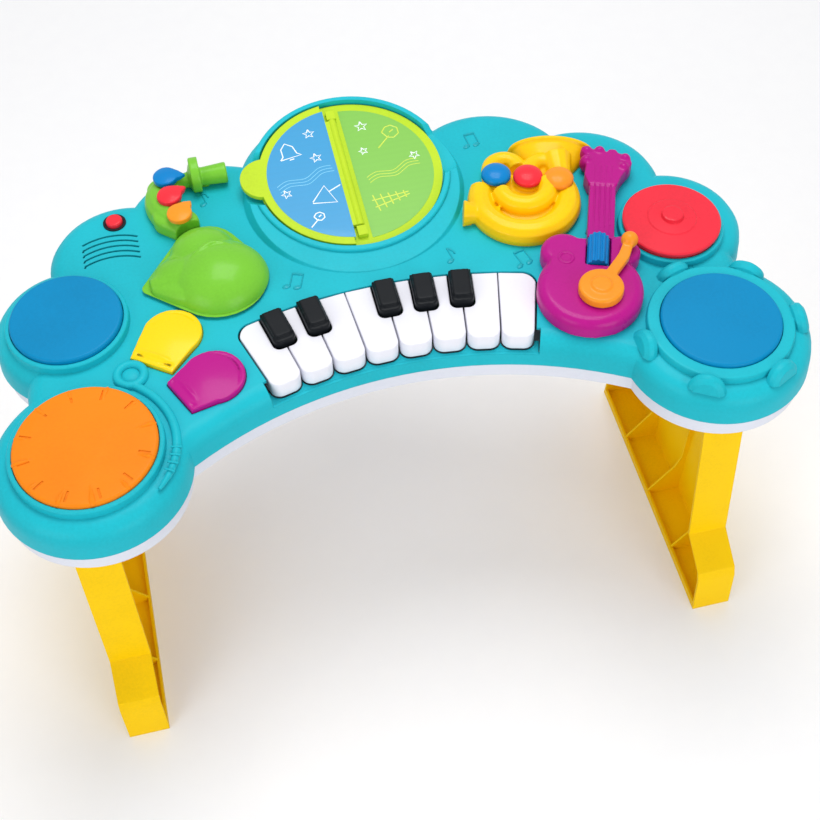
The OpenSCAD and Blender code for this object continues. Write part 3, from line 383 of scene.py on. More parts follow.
@dataclass(frozen=True)
class PrintedSheet(Finish):
    """A laminated paper print: fine dots under a clear film with slight ripples."""

    colour: tuple[int, int, int]
    ink: float = 0.1

    def build(self, graph: Graph) -> None:
        """Builds the look.

        Args:
            graph: The material's nodes.
        """
        base = srgb(*self.colour)
        deep = shaded(base, 1 - self.ink)
        dots = graph.node("ShaderNodeTexVoronoi", {"feature": "F1"}, {
            "Vector": graph.place, "Scale": 1600.0, "Randomness": 0.1})
        ripple = graph.noise(30.0, 2.0)
        graph.set(Base_Color=graph.blend((dots * 0.8 + ripple * 0.4).clamp(), base, deep),
                  Roughness=(ripple * 0.12 + 0.3).clamp(), Coat_Weight=(ripple * 0.3).clamp(),
                  Normal=graph.bump(0.05, 0.001, ripple))


# ------------------------------------------------------------------ modelling by operators
Pick = Callable[[Vector, Vector], bool]


class Bench:
    """Operators in the order that a modeller uses them."""

    @staticmethod
    def clear() -> None:
        """Deselects everything and leaves edit mode."""
        if bpy.context.object and bpy.context.object.mode != "OBJECT":
            bpy.ops.object.mode_set(mode="OBJECT")
        bpy.ops.object.select_all(action="DESELECT")

    @staticmethod
    def take(piece: Piece) -> None:
        """Makes one piece the only selected and active one."""
        Bench.clear()
        piece.hide_set(False)
        piece.select_set(True)
        bpy.context.view_layer.objects.active = piece

    @staticmethod
    @contextmanager
    def editing(piece: Piece) -> Iterator[None]:
        """Opens a piece in edit mode with everything selected, and closes it again."""
        Bench.take(piece)
        bpy.ops.object.mode_set(mode="EDIT")
        bpy.ops.mesh.select_all(action="SELECT")
        yield
        bpy.ops.object.mode_set(mode="OBJECT")

    @staticmethod
    def named(name: str) -> Piece:
        """Names the primitive that was just added."""
        piece = bpy.context.object
        piece.name = name
        piece.data.name = name
        return piece

    @staticmethod
    def cylinder(name: str, foot: Vector, radius: float, height: float, sides: int = 48,
                 top: float | None = None) -> Piece:
        """Adds an upright cylinder or cone by its foot, sizes in millimetres.

        Args:
            name: The piece's name.
            foot: Middle of its lower face.
            radius: Radius at the foot.
            height: Height.
            sides: Number of sides.
            top: Radius at the top where it differs.

        Returns:
            The new piece.
        """
        Bench.clear()
        bpy.ops.mesh.primitive_cone_add(vertices=sides, radius1=radius * MM, depth=height * MM,
                                        radius2=(radius if top is None else top) * MM,
                                        location=foot + Vector((0, 0, height * MM / 2)))
        return Bench.named(name)

    @staticmethod
    def block(name: str, middle: Vector, size: Place, turn: float = 0.0) -> Piece:
        """Adds a block by its middle, sizes in millimetres and the turn in degrees."""
        Bench.clear()
        bpy.ops.mesh.primitive_cube_add(size=MM, location=middle, scale=size,
                                        rotation=(0, 0, math.radians(turn)))
        return Bench.named(name)

    @staticmethod
    def ball(name: str, middle: Vector, size: Place, turn: float = 0.0, rings: int = 24) -> Piece:
        """Adds an ellipsoid by its middle and three radii in millimetres."""
        Bench.clear()
        bpy.ops.mesh.primitive_uv_sphere_add(segments=2 * rings, ring_count=rings, radius=MM,
                                             location=middle, scale=size,
                                             rotation=(0, 0, math.radians(turn)))
        return Bench.named(name)

    @staticmethod
    def ring(name: str, middle: Vector, radius: float, thick: float,
             sides: tuple[int, int]) -> Piece:
        """Adds a level ring, sizes in millimetres.

        Args:
            name: The piece's name.
            middle: Its middle.
            radius: Radius of its middle line.
            thick: Radius of its section.
            sides: Steps around the ring and around its section.

        Returns:
            The new piece.
        """
        Bench.clear()
        bpy.ops.mesh.primitive_torus_add(location=middle, major_radius=radius * MM,
                                         minor_radius=thick * MM, major_segments=sides[0],
                                         minor_segments=sides[1])
        return Bench.named(name)

    @staticmethod
    def tube(name: str, points: Sequence[Vector], radius: float | Sequence[float],
             sides: int = 20, smooth: bool = True) -> Piece:
        """Draws a round bar along points by extruding a ring from each to the next.

        Args:
            name: The piece's name.
            points: Places along its middle.
            radius: Radius in millimetres, or one for each point.
            sides: Number of sides.
            smooth: Whether it bends smoothly from point to point.

        Returns:
            The new closed piece.
        """
        radii = [radius] * len(points) if isinstance(radius, (int, float)) else list(radius)
        Bench.clear()
        bpy.ops.curve.primitive_nurbs_path_add()
        path = Bench.named(name)
        path.data.splines.clear()
        path.matrix_world = Matrix.Identity(4)
        spline = path.data.splines.new("NURBS" if smooth else "POLY")
        spline.points.add(len(points) - 1)
        for point, place, size in zip(spline.points, points, radii):
            point.co = (*place, 1)
            point.radius = size
        if smooth:
            spline.use_endpoint_u = True
            spline.order_u = 3
        path.data.bevel_depth = MM
        path.data.bevel_resolution = sides // 4 - 1
        path.data.use_fill_caps = True
        path.data.resolution_u = 6
        path.data.dimensions = "3D"
        bpy.ops.object.convert(target="MESH")
        return Bench.closed(Bench.named(name))

    @staticmethod
    def closed(piece: Piece) -> Piece:
        """Merges doubles and turns the faces outwards."""
        with Bench.editing(piece):
            bpy.ops.mesh.remove_doubles(threshold=WELD)
            bpy.ops.mesh.normals_make_consistent(inside=False)
        return piece

    @staticmethod
    def edges(piece: Piece, wanted: Pick, sharp: float = 20.0) -> int:
        """Selects the sharp edges that a test picks by their ends.

        Args:
            piece: The piece in object mode.
            wanted: Test on the edge's two ends.
            sharp: Least angle between its faces in degrees.

        Returns:
            The number of edges selected.
        """
        Bench.take(piece)
        bpy.ops.object.mode_set(mode="EDIT")
        bpy.ops.mesh.select_mode(type="EDGE")
        bpy.ops.mesh.select_all(action="DESELECT")
        bpy.ops.mesh.edges_select_sharp(sharpness=math.radians(sharp))
        bpy.ops.object.mode_set(mode="OBJECT")
        points = piece.data.vertices
        count = 0
        for edge in piece.data.edges:
            if edge.select:
                ends = [points[i].co for i in edge.vertices]
                edge.select = wanted(ends[0], ends[1])
                count += edge.select
        for face in piece.data.polygons:
            face.select = False
        for point in points:
            point.select = False
        for edge in piece.data.edges:
            if edge.select:
                for i in edge.vertices:
                    points[i].select = True
        return count

    @staticmethod
    def round_off(piece: Piece, wanted: Pick, width: float, segments: int = 3,
                  sharp: float = 20.0) -> Piece:
        """Rounds the sharp edges that a test picks.

        Args:
            piece: The piece.
            wanted: Test on the edge's two ends.
            width: Width of the rounding in millimetres.
            segments: Steps in the rounding.
            sharp: Least angle between an edge's faces.

        Returns:
            The same piece.
        """
        if Bench.edges(piece, wanted, sharp):
            bpy.ops.object.mode_set(mode="EDIT")
            bpy.ops.mesh.bevel(offset=width * MM, segments=segments, profile=0.5,
                               clamp_overlap=False)
            bpy.ops.object.mode_set(mode="OBJECT")
        return piece

    @staticmethod
    def modifier(piece: Piece, kind: str, **settings: object) -> Piece:
        """Adds a modifier with settings and applies it.

        Args:
            piece: The piece.
            kind: The modifier's type.
            **settings: Its settings by name.

        Returns:
            The same piece.
        """
        Bench.take(piece)
        bpy.ops.object.modifier_add(type=kind)
        made = piece.modifiers[-1]
        for key, value in settings.items():
            setattr(made, key, value)
        bpy.ops.object.modifier_apply(modifier=made.name)
        return piece

    @staticmethod
    def together(name: str, pieces: Sequence[Piece]) -> Piece:
        """Joins pieces into the first one and renames it."""
        Bench.take(pieces[0])
        for piece in pieces[1:]:
            piece.select_set(True)
        bpy.ops.object.join()
        return Bench.named(name)

    @staticmethod
    def cast(name: str, pieces: Sequence[Piece], cell: float = 1.0, rounds: int = 6) -> Piece:
        """Melts overlapping pieces into one soft moulding.

        Args:
            name: The piece's name.
            pieces: Overlapping closed pieces.
            cell: Size of the skin's cells in millimetres.
            rounds: Rounds of smoothing.

        Returns:
            The moulding.
        """
        body = Bench.together(name, pieces)
        Bench.modifier(body, "REMESH", mode="VOXEL", voxel_size=cell * MM, use_smooth_shade=True)
        Bench.modifier(body, "SMOOTH", factor=0.5, iterations=rounds)
        return body

    @staticmethod
    def cut(piece: Piece, place: Vector, normal: Vector, keep_below: bool) -> Piece:
        """Cuts a piece flat at a plane and closes it.

        Args:
            piece: The piece.
            place: A place on the plane.
            normal: The plane's direction.
            keep_below: Whether the side away from the direction stays.

        Returns:
            The same piece.
        """
        Bench.take(piece)
        bpy.ops.object.transform_apply(location=True, rotation=True, scale=True)
        with Bench.editing(piece):
            bpy.ops.mesh.bisect(plane_co=place, plane_no=normal, use_fill=True,
                                clear_outer=keep_below, clear_inner=not keep_below)
        return piece

    @staticmethod
    def trim(piece: Piece, z: float, keep_below: bool = False) -> Piece:
        """Cuts a piece level at a height in millimetres and keeps one side."""
        return Bench.cut(piece, spot(0, 0, z), Vector((0, 0, 1)), keep_below)

    @staticmethod
    def hollow(piece: Piece, tool: Piece) -> Piece:
        """Takes a tool's shape out of a piece and puts the tool away."""
        Bench.modifier(piece, "BOOLEAN", operation="DIFFERENCE", solver="EXACT", object=tool)
        bpy.data.objects.remove(tool)
        return piece

    @staticmethod
    def rested(piece: Piece, smooth: float = 35.0) -> Piece:
        """Puts the piece's place in its mesh and shades it smooth by angle."""
        Bench.take(piece)
        bpy.ops.object.transform_apply(location=True, rotation=True, scale=True)
        bpy.ops.object.shade_smooth_by_angle(angle=math.radians(smooth))
        return piece


@dataclass
class Maker:
    """Hands finished pieces over to the frame and counts them."""

    nodes: dict[str, Piece]
    finishes: dict[str, bpy.types.Material] = field(default_factory=dict)
    made: int = 0

    def paint(self, finish: Finish) -> bpy.types.Material:
        """Builds a finish once and gives its material."""
        if finish.name not in self.finishes:
            self.finishes[finish.name] = finish.make()
        return self.finishes[finish.name]

    def dress(self, piece: Piece, finish: Finish) -> Piece:
        """Gives a piece one finish all over.

        Args:
            piece: The piece.
            finish: The finish.

        Returns:
            The same piece.
        """
        material = self.paint(finish)
        if piece.material_slots:
            for place in piece.material_slots:
                place.material = material
        else:
            piece.data.materials.append(material)
        return piece

    def node(self, name: str, finish: Finish) -> Piece:
        """Dresses a part that is carried over as it is."""
        return self.dress(self.nodes[name], finish)

    def copy(self, node: str, name: str) -> Piece:
        """Copies a part's mesh, merged and with its flat faces whole.

        Args:
            node: The part.
            name: The copy's name.

        Returns:
            The copy.
        """
        Bench.clear()
        piece = self.nodes[node].copy()
        piece.data = self.nodes[node].data.copy()
        for key in list(piece.keys()):
            del piece[key]
        piece.parent = None
        bpy.context.scene.collection.objects.link(piece)
        piece.name = name
        piece.data.name = name
        piece.data.materials.clear()
        Bench.closed(piece)
        with Bench.editing(piece):
            bpy.ops.mesh.customdata_custom_splitnormals_clear()
            bpy.ops.mesh.dissolve_limited(angle_limit=math.radians(FLAT))
        return piece

    def skin(self, node: str, body: str, slot: str, finish: Finish) -> Piece:
        """Gives a part a merged skin with even shading.

        Args:
            node: The part.
            body: The body that it rides on.
            slot: The record's material slot.
            finish: Its finish.

        Returns:
            The new piece.
        """
        piece = self.copy(node, node + "_skin")
        self.hand_over(piece, body, slot, finish, [node], 30)
        return Bench.modifier(piece, "WEIGHTED_NORMAL", keep_sharp=True)

    def soft(self, node: str, body: str, slot: str, finish: Finish, cell: float,
             rounds: int) -> Piece:
        """Melts a part's edges away by cells in millimetres and rounds of smoothing."""
        piece = Bench.cast(node + "_moulding", [self.copy(node, "core")], cell, rounds)
        return self.hand_over(piece, body, slot, finish, [node])

    def hand_over(self, piece: Piece, body: str, slot: str, finish: Finish,
                  replaces: Iterable[str] = (), smooth: float = 35.0) -> Piece:
        """Finishes a new piece and fastens it to its body.

        Args:
            piece: The piece.
            body: The body that it rides on.
            slot: Not used.
            finish: Its finish.
            replaces: Parts that it stands for.
            smooth: Angle for smooth shading.

        Returns:
            The piece.
        """
        Bench.rested(piece, smooth)
        self.dress(piece, finish)
        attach(piece, body)
        names = list(replaces)
        if names:
            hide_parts(*names)
        self.made += 1
        LOG.info("made %s on %s, %d faces", piece.name, body, len(piece.data.polygons))
        return piece


TEAL = Moulded("turquoise_plastic", (30, 186, 202), edge=1.2)
# The notes' darker teal is painted shade: it stands in for the shade in engraved note lines.
TEAL_NOTE_PAINTED_SHADE = Moulded("turquoise_relief_painted_shade", (26, 170, 186), Polish.GLOSSY)
TRAY_WHITE = Moulded("tray_white", (224, 227, 238), shade=0.05, edge=1.0)
LEG_YELLOW = Moulded("leg_yellow", (255, 208, 0), edge=1.0)
KEY_WHITE = Moulded("key_white", (240, 240, 249), Polish.GLOSSY, shade=0.03)
KEY_BLACK = Moulded("key_black", (13, 17, 22), shade=0.2)
DRUM_ORANGE = Moulded("drum_orange", (248, 136, 18))
PAD_BLUE = Moulded("pad_blue", (0, 136, 190))
CYMBAL_RED = Moulded("cymbal_red", (236, 48, 66), Polish.GLOSSY)
SAX_GREEN = Moulded("sax_green", (122, 198, 56), Polish.GLOSSY)
TRUMPET_YELLOW = Moulded("trumpet_yellow", (255, 205, 12), Polish.GLOSSY)
MARACA_YELLOW = Moulded("maraca_yellow", (255, 214, 18), Polish.GLOSSY)
GUITAR_PURPLE = Moulded("guitar_purple", (184, 16, 136), Polish.GLOSSY)
BUTTON_BLUE = Moulded("button_blue", (0, 128, 200), Polish.GLOSSY)
BUTTON_RED = Moulded("button_red", (238, 48, 62), Polish.GLOSSY)
BUTTON_ORANGE = Moulded("button_orange", (250, 152, 38), Polish.GLOSSY)
BOOK_LIME = Moulded("book_lime", (190, 220, 45))
BEZEL_BLACK = Moulded("bezel_black", (34, 34, 38), Polish.DULL)
BED_GREY = Moulded("bed_grey", (190, 192, 198), Polish.DULL)
DOOR_WHITE = Moulded("door_white", (220, 223, 232), shade=0.05)
PIN_STEEL = Steel("pin_steel")
PAGE_BLUE = PrintedSheet("page_blue", (0, 150, 208))
PAGE_GREEN = PrintedSheet("page_green", (122, 194, 58))
INK_WHITE = PrintedSheet("ink_white", (238, 246, 250), 0.03)
INK_LIME = PrintedSheet("ink_lime", (206, 226, 60), 0.05)
INK_PALE_BLUE = PrintedSheet("ink_pale_blue", (110, 200, 232), 0.05)
BUTTONS = {"blue": BUTTON_BLUE, "red": BUTTON_RED, "orange": BUTTON_ORANGE}


@dataclass(frozen=True)
class Bar:
    """A round bar through places of [u, v, height] with a radius for each."""

    name: str
    places: tuple[Place, ...]
    radii: tuple[float, ...]
    sides: int = 20

    def drawn(self, base: float) -> Piece:
        """Draws the bar with its heights counted from a level."""
        points = [spot(u, v, base + z) for u, v, z in self.places]
        return Bench.tube(self.name, points, self.radii, self.sides)


@dataclass(frozen=True)
class Blob:
    """An ellipsoid at [u, v, height] with three radii and a turn in degrees."""

    name: str
    middle: Place
    radii: Place
    turn: float = 0.0

    def drawn(self, base: float) -> Piece:
        """Adds the ellipsoid with its height counted from a level."""
        u, v, z = self.middle
        return Bench.ball(self.name, spot(u, v, base + z), self.radii, self.turn)


@dataclass(frozen=True)
class Bend:
    """A round tube bent about [u, v, height] from a first angle through a sweep."""

    middle: Place
    radius: float
    start: float
    sweep: float
    thick: float
    step: float = 15.0

    def drawn(self, base: float) -> Piece:
        """Draws the bend with its height counted from a level."""
        steps = max(4, int(abs(self.sweep) / self.step))
        bearings = [self.start + self.sweep * k / steps for k in range(steps + 1)]
        points = [around(self.middle, self.radius, b, base + self.middle[2]) for b in bearings]
        return Bench.tube("bend", points, self.thick)


@dataclass
class Shells:
    """Top shell, tray, legs and the reliefs moulded into the deck."""

    maker: Maker
    note_places: tuple[tuple[float, float, float, int], ...] = (
        (-72, 122, -20, 2), (60, 118, 10, 1), (118, 100, 15, 2), (112, 246, 5, 2),
        (243, 56, -10, 1), (-128, 232, 12, 1))
    note_width: float = 9.0
    note_height: float = 14.0
    stem_in: float = 2.8
    relief: float = 0.9
    mallet_at: tuple[float, float] = (-209.0, 63.0)
    drum_at: tuple[float, float] = (-248.5, 0.0)
    stick_r: float = 66.5
    grips: tuple[float, ...] = (-12, -18, -24, -30)
    grip_ends: tuple[float, float] = (62.5, 70.5)

    def build(self) -> None:
        """Dresses the shells and adds the reliefs."""
        self.maker.skin("top_shell", "table", "turquoise_plastic", TEAL)
        self.maker.skin("base_shell", "table", "white_plastic", TRAY_WHITE)
        for leg in ("leg_left", "leg_right"):
            self.maker.skin(leg, "table", "yellow_leg_plastic", LEG_YELLOW)
        self.notes()
        self.mallet()

    def notes(self) -> None:
        """Raises small music notes on the deck in a darker teal, which is painted shade."""
        marks = []
        for k, (u, v, turn, heads) in enumerate(self.note_places):
            marks += self.note(f"note_{k}", u, v, turn, heads)
        piece = Bench.together("deck_notes", marks)
        # Painted shade: the notes' darker teal stands in for the shade in engraved lines.
        self.maker.hand_over(piece, "table", "turquoise_plastic", TEAL_NOTE_PAINTED_SHADE)

    def note(self, name: str, u: float, v: float, turn: float, heads: int) -> list[Piece]:
        """Makes one note: tilted heads, stems and a beam or a flag.

        Args:
            name: Name of its pieces.
            u: Place to the right.
            v: Place to the back.
            turn: Turn in degrees.
            heads: One head with a flag or two with a beam.

        Returns:
            Its pieces.
        """
        swing = Matrix.Rotation(math.radians(turn), 2)
        made = []

        def there(x: float, y: float) -> Vector:
            """Turns a place of the note into one of the deck."""
            moved = swing @ Vector((x, y))
            return spot(u + moved.x, v + moved.y, DECK_Z)

        half, top, stem = self.note_width / 2, self.note_height, self.stem_in
        for side in ([-half, half] if heads == 2 else [0.0]):
            made.append(Bench.ball(name, there(side, 0), (3.4, 2.4, self.relief), turn + 25, 8))
            rod = [there(side + stem, y) for y in (0, top / 2, top)]
            made.append(Bench.tube(name, rod, 0.7, 8))
        if heads == 2:
            beam = [there(-half + stem, top), there(stem, top + 0.7), there(half + stem, top)]
            made.append(Bench.tube(name, beam, 1.3, 8))
        else:
            flag = [there(stem, top), there(stem + 4.6, top - 4), there(stem + 3.6, top - 8)]
            made.append(Bench.tube(name, flag, 0.9, 8))
        return made

    def mallet(self) -> None:
        """Raises the mallet whose stick curls round the big drum."""
        u, v = self.mallet_at
        parts = [Bench.ring("mallet_head", spot(u, v, DECK_Z + 1.2), 10.5, 3.4, (40, 16)),
                 Bench.ball("mallet_boss", spot(u, v, DECK_Z), (7.5, 7.5, 2.6))]
        arc = [around(self.drum_at, self.stick_r, a, DECK_Z + 0.6) for a in range(52, -52, -8)]
        thick = [3.6] * (len(arc) - 4) + [3.2, 2.8, 2.2, 1.4]
        parts.append(Bench.tube("mallet_stick", arc, thick))
        for a in self.grips:
            near, far = (around(self.drum_at, r, a, DECK_Z + 3.4) for r in self.grip_ends)
            middle = (near + far) / 2 + Vector((0, 0, 1.3 * MM))
            parts.append(Bench.tube("mallet_grip", [near, middle, far], 0.9, 8))
        piece = Bench.together("mallet_relief", parts)
        self.maker.hand_over(piece, "table", "turquoise_plastic", TEAL, smooth=60)


@dataclass
class Keyboard:
    """Eight white and five black keys with soft edges."""

    maker: Maker
    whites: int = 8
    blacks: int = 5
    white_round: float = 1.1
    black_cell: float = 0.8
    black_rounds: int = 8
    fan_v: float = -311.0
    pitch: float = 4.33
    front_r: float = 351.2
    corner_r: float = 8.5
    corner_side: float = 4.33
    room: float = 0.8
    ledge_thick: float = 2.5
    ledge_half: float = 17.9
    ledge_under: float = 0.1
    ledge_lap: float = 0.9
    ledge_in: float = 4.6

    def build(self) -> None:
        """Makes the ledge and every key from its part."""
        self.ledge()
        for i in range(1, self.whites + 1):
            self.white(f"white_key_{i}")
        for i in range(1, self.blacks + 1):
            node = f"black_key_{i}"
            self.maker.soft(node, node, "black_plastic", KEY_BLACK, self.black_cell,
                            self.black_rounds)

    def ledge(self) -> None:
        """Cuts the ledge that follows the rounded key fronts."""
        thick = self.ledge_thick
        foot = spot(0, self.fan_v, LEDGE_Z - self.ledge_under - thick)
        outer = self.front_r + self.corner_r + self.ledge_lap
        plate = Bench.cylinder("key_ledge", foot, outer, thick, 360)
        well = Bench.cylinder("well", foot - Vector((0, 0, MM)), self.front_r - self.ledge_in,
                              thick + 2, 360)
        Bench.hollow(plate, well)
        turn = math.radians(self.ledge_half)
        for side in (-1, 1):
            Bench.cut(plate, foot, Vector((side * math.cos(turn), -math.sin(turn), 0)), True)
        for i in range(self.whites):
            self.front(plate, (i - (self.whites - 1) / 2) * self.pitch)
        self.maker.hand_over(plate, "table", "turquoise_plastic", TEAL)

    def front(self, plate: Piece, bearing: float) -> None:
        """Takes one key's rounded front out of the ledge.

        Args:
            plate: The ledge.
            bearing: The key's bearing in degrees.
        """
        swing = Matrix.Rotation(math.radians(-bearing), 2)

        def there(across: float, out: float) -> Vector:
            """Turns a place on the key's own radius line into one of the frame."""
            moved = swing @ Vector((across, out))
            return spot(moved.x, self.fan_v + moved.y, LEDGE_Z - 5)

        for side in (-1, 1):
            corner = there(side * self.corner_side, self.front_r + self.corner_r)
            tool = Bench.cylinder("corner", corner, self.corner_r + self.room, 8, 48)
            Bench.hollow(plate, tool)
        middle = there(0, self.front_r - self.room + 6) + Vector((0, 0, 4 * MM))
        tool = Bench.block("front", middle, (2 * self.corner_side, 12, 8), -bearing)
        Bench.hollow(plate, tool)

    def white(self, node: str) -> None:
        """Rounds one white key's upper edges."""
        piece = self.maker.copy(node, node + "_cap")
        level = (DECK_Z - 0.05) * MM
        Bench.round_off(piece, lambda a, b: min(a.z, b.z) > level, self.white_round, 3, 25)
        self.maker.hand_over(piece, node, "white_key_plastic", KEY_WHITE, [node], 40)


@dataclass
class Inside:
    """Everything under the deck that keeps its part."""

    maker: Maker
    band: float = 0.62
    cap: float = 0.03

    def build(self) -> None:
        """Dresses the inner parts."""
        node = self.maker.node
        for name in ("key_board", "left_board", "right_board"):
            node(name, CircuitBoard("circuit_board"))
        for name in ("key_domes", "left_domes", "right_domes"):
            node(name, Rubber("silicone_rubber"))
        for name in ("page_pin", "roller_axle", "lever_screw", "door_screw", "housing_screws",
                     "battery_contacts"):
            node(name, PIN_STEEL)
        node("key_bed", BED_GREY)
        node("battery_door", DOOR_WHITE)
        low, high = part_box("speaker")
        node("speaker", SpeakerCone("speaker_cone", (low + high) / 2))
        low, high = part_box("batteries")
        length = high.y - low.y
        node("batteries", CellWrap("cell_wrap", low.y + self.band * length,
                                   high.y - self.cap * length))


@dataclass
class Drums:
    """Drum heads, tambourine head, cymbal and power button."""

    maker: Maker
    orange_at: tuple[float, float] = (-248.5, 0.0)
    lace: tuple[tuple[float, float, float], ...] = (
        (8, 39, 1.5), (36, 44, 1.1), (66, 41, 1.5), (98, 45, 1.1), (128, 43, 1.3), (160, 44, 1.2),
        (186, 38, 1.6), (214, 44, 1.1), (243, 40, 1.5), (271, 37, 1.7), (301, 43, 1.3),
        (334, 41, 1.4))
    lace_top: float = -0.8
    lace_path: tuple[tuple[float, float], ...] = ((46.5, -0.7), (51.0, -1.0), (53.5, -2.4))
    lace_size: tuple[float, ...] = (0.5, 1.2, 1.7, 1.2)

    def build(self) -> None:
        """Dresses the heads."""
        skin = self.maker.skin
        self.orange()
        for node in ("drum_head_blue", "tambourine_head"):
            skin(node, node, "blue_plastic", PAD_BLUE)
        skin("cymbal", "cymbal", "red_plastic", CYMBAL_RED)
        skin("power_bezel", "table", "black_plastic", BEZEL_BLACK)
        skin("power_button", "power_button", "red_plastic", BUTTON_RED)

    def orange(self) -> None:
        """Adds raised lacing to the big head."""
        u, v = self.orange_at
        parts = [self.maker.copy("drum_head_orange", "drum_head_orange_laced")]
        for bearing, inner, size in self.lace:
            side = Vector((math.cos(math.radians(bearing)), math.sin(math.radians(bearing))))
            points = [spot(u + r * side.x, v + r * side.y, HEAD_Z + z)
                      for r, z in ((inner, self.lace_top), *self.lace_path)]
            parts.append(Bench.tube("lace", points, [s * size for s in self.lace_size], 12))
        piece = Bench.together("drum_head_orange_laced", parts)
        self.maker.hand_over(piece, "drum_head_orange", "orange_plastic", DRUM_ORANGE,
                             ["drum_head_orange"], 40)


@dataclass
class Maracas:
    """The two maraca-shaped buttons with the rolled end of the neck."""

    maker: Maker
    buttons: tuple[tuple[str, float, float, float, float, float], ...] = (
        ("yellow", -172.2, 95.4, 34.5, 37.0, -126.0), ("purple", -147.0, 45.2, 31.5, 34.5, -154.5))
    neck_in: float = 8.5
    ridge_z: float = 4.6
    ridge_drop: float = 1.4

    def build(self) -> None:
        """Makes both buttons."""
        for colour, u, v, length, width, turn in self.buttons:
            node = f"maraca_button_{colour}"
            along = Vector((math.cos(math.radians(turn)), math.sin(math.radians(turn))))
            across = Vector((-along.y, along.x))
            points = []
            for t in (-1.0, -0.6, 0.0, 0.6, 1.0):
                place = (Vector((u, v)) + along * (length - self.neck_in)
                         + across * (t * (width / 2 - 0.6)))
                rise = self.ridge_z - self.ridge_drop * abs(t) ** 3
                points.append(spot(place.x, place.y, DECK_Z + rise))
            ridge = Bench.tube("neck_ridge", points, [0.6, 1.6, 1.8, 1.6, 0.6], 12)
            piece = Bench.cast(node + "_moulding", [self.maker.copy(node, "core"), ridge], 0.8, 4)
            finish = MARACA_YELLOW if colour == "yellow" else GUITAR_PURPLE
            self.maker.hand_over(piece, node, f"{colour}_plastic", finish, [node], 40)


@dataclass
class Saxophone:
    """Curved body with its mouthpiece, the big bell button and three keys."""

    maker: Maker
    bell_z: float = 328.9
    body_forms: tuple[Bar | Blob, ...] = (
        Bar("trunk", ((-147, 203, 3), (-156, 214, 4), (-164, 232, 4), (-163, 250, 4),
                      (-154, 259, 5)), (12, 14, 14, 12, 8)),
        Bar("mouth_pipe", ((-152, 258, 6), (-140, 257, 8), (-128, 257, 9), (-103, 257, 9)),
            (6, 6, 7, 9)),
        Blob("collar", (-132, 257, 10), (4.5, 13, 13)))
    bell_forms: tuple[Bar | Blob, ...] = (
        Blob("bulb", (-127, 143, -3), (40.5, 38.5, 26)),
        Blob("shoulder", (-136, 170, -3), (29, 30, 22)),
        Blob("cheek", (-152, 150, -3), (30, 22, 19), -12),
        Bar("lip", ((-122, 148, -4), (-140, 150, -2), (-162, 147, 0), (-183, 146, 1)),
            (5, 19, 15, 6.5)),
        Bar("upper_edge", ((-120, 166, -4), (-138, 174, -3), (-160, 163, -1), (-181, 149, 0)),
            (4, 17, 13, 5.5)),
        Bar("lower_edge", ((-118, 132, -4), (-138, 127, -3), (-160, 134, -1), (-180, 143, 0)),
            (4, 17, 13, 5.5)),
        Bar("crease", ((-150, 152, 16.5), (-138, 160, 20.5), (-124, 168, 19), (-112, 160, 18)),
            (0.8, 2.2, 2.2, 0.8), 12))

    def build(self) -> None:
        """Makes body, bell and keys."""
        self.body()
        self.bell()
        for colour, finish in BUTTONS.items():
            node = f"sax_key_{colour}"
            self.maker.soft(node, node, f"{colour}_plastic", finish, 0.8, 5)

    def body(self) -> None:
        """Melts the body into one soft form that stands flat on the deck."""
        forms = [form.drawn(DECK_Z) for form in self.body_forms]
        core = self.maker.copy("saxophone_body", "core")
        piece = Bench.cast("saxophone_body_moulding", [core, *forms], 0.9, 6)
        Bench.trim(piece, DECK_Z)
        self.maker.hand_over(piece, "table", "green_plastic", SAX_GREEN, ["saxophone_body"])

    def bell(self) -> None:
        """Melts the bell's bulb, neck and pointed lip, then adds its skirt and plunger."""
        node = "saxophone_bell"
        forms = [form.drawn(self.bell_z) for form in self.bell_forms]
        bulb = Bench.cast(node + "_moulding", forms, 1.0, 8)
        Bench.trim(bulb, self.bell_z)
        core = self.maker.copy(node, "core")
        Bench.trim(core, self.bell_z + 0.2, keep_below=True)
        piece = Bench.together(node + "_moulding", [bulb, core])
        self.maker.hand_over(piece, node, "green_plastic", SAX_GREEN, [node])


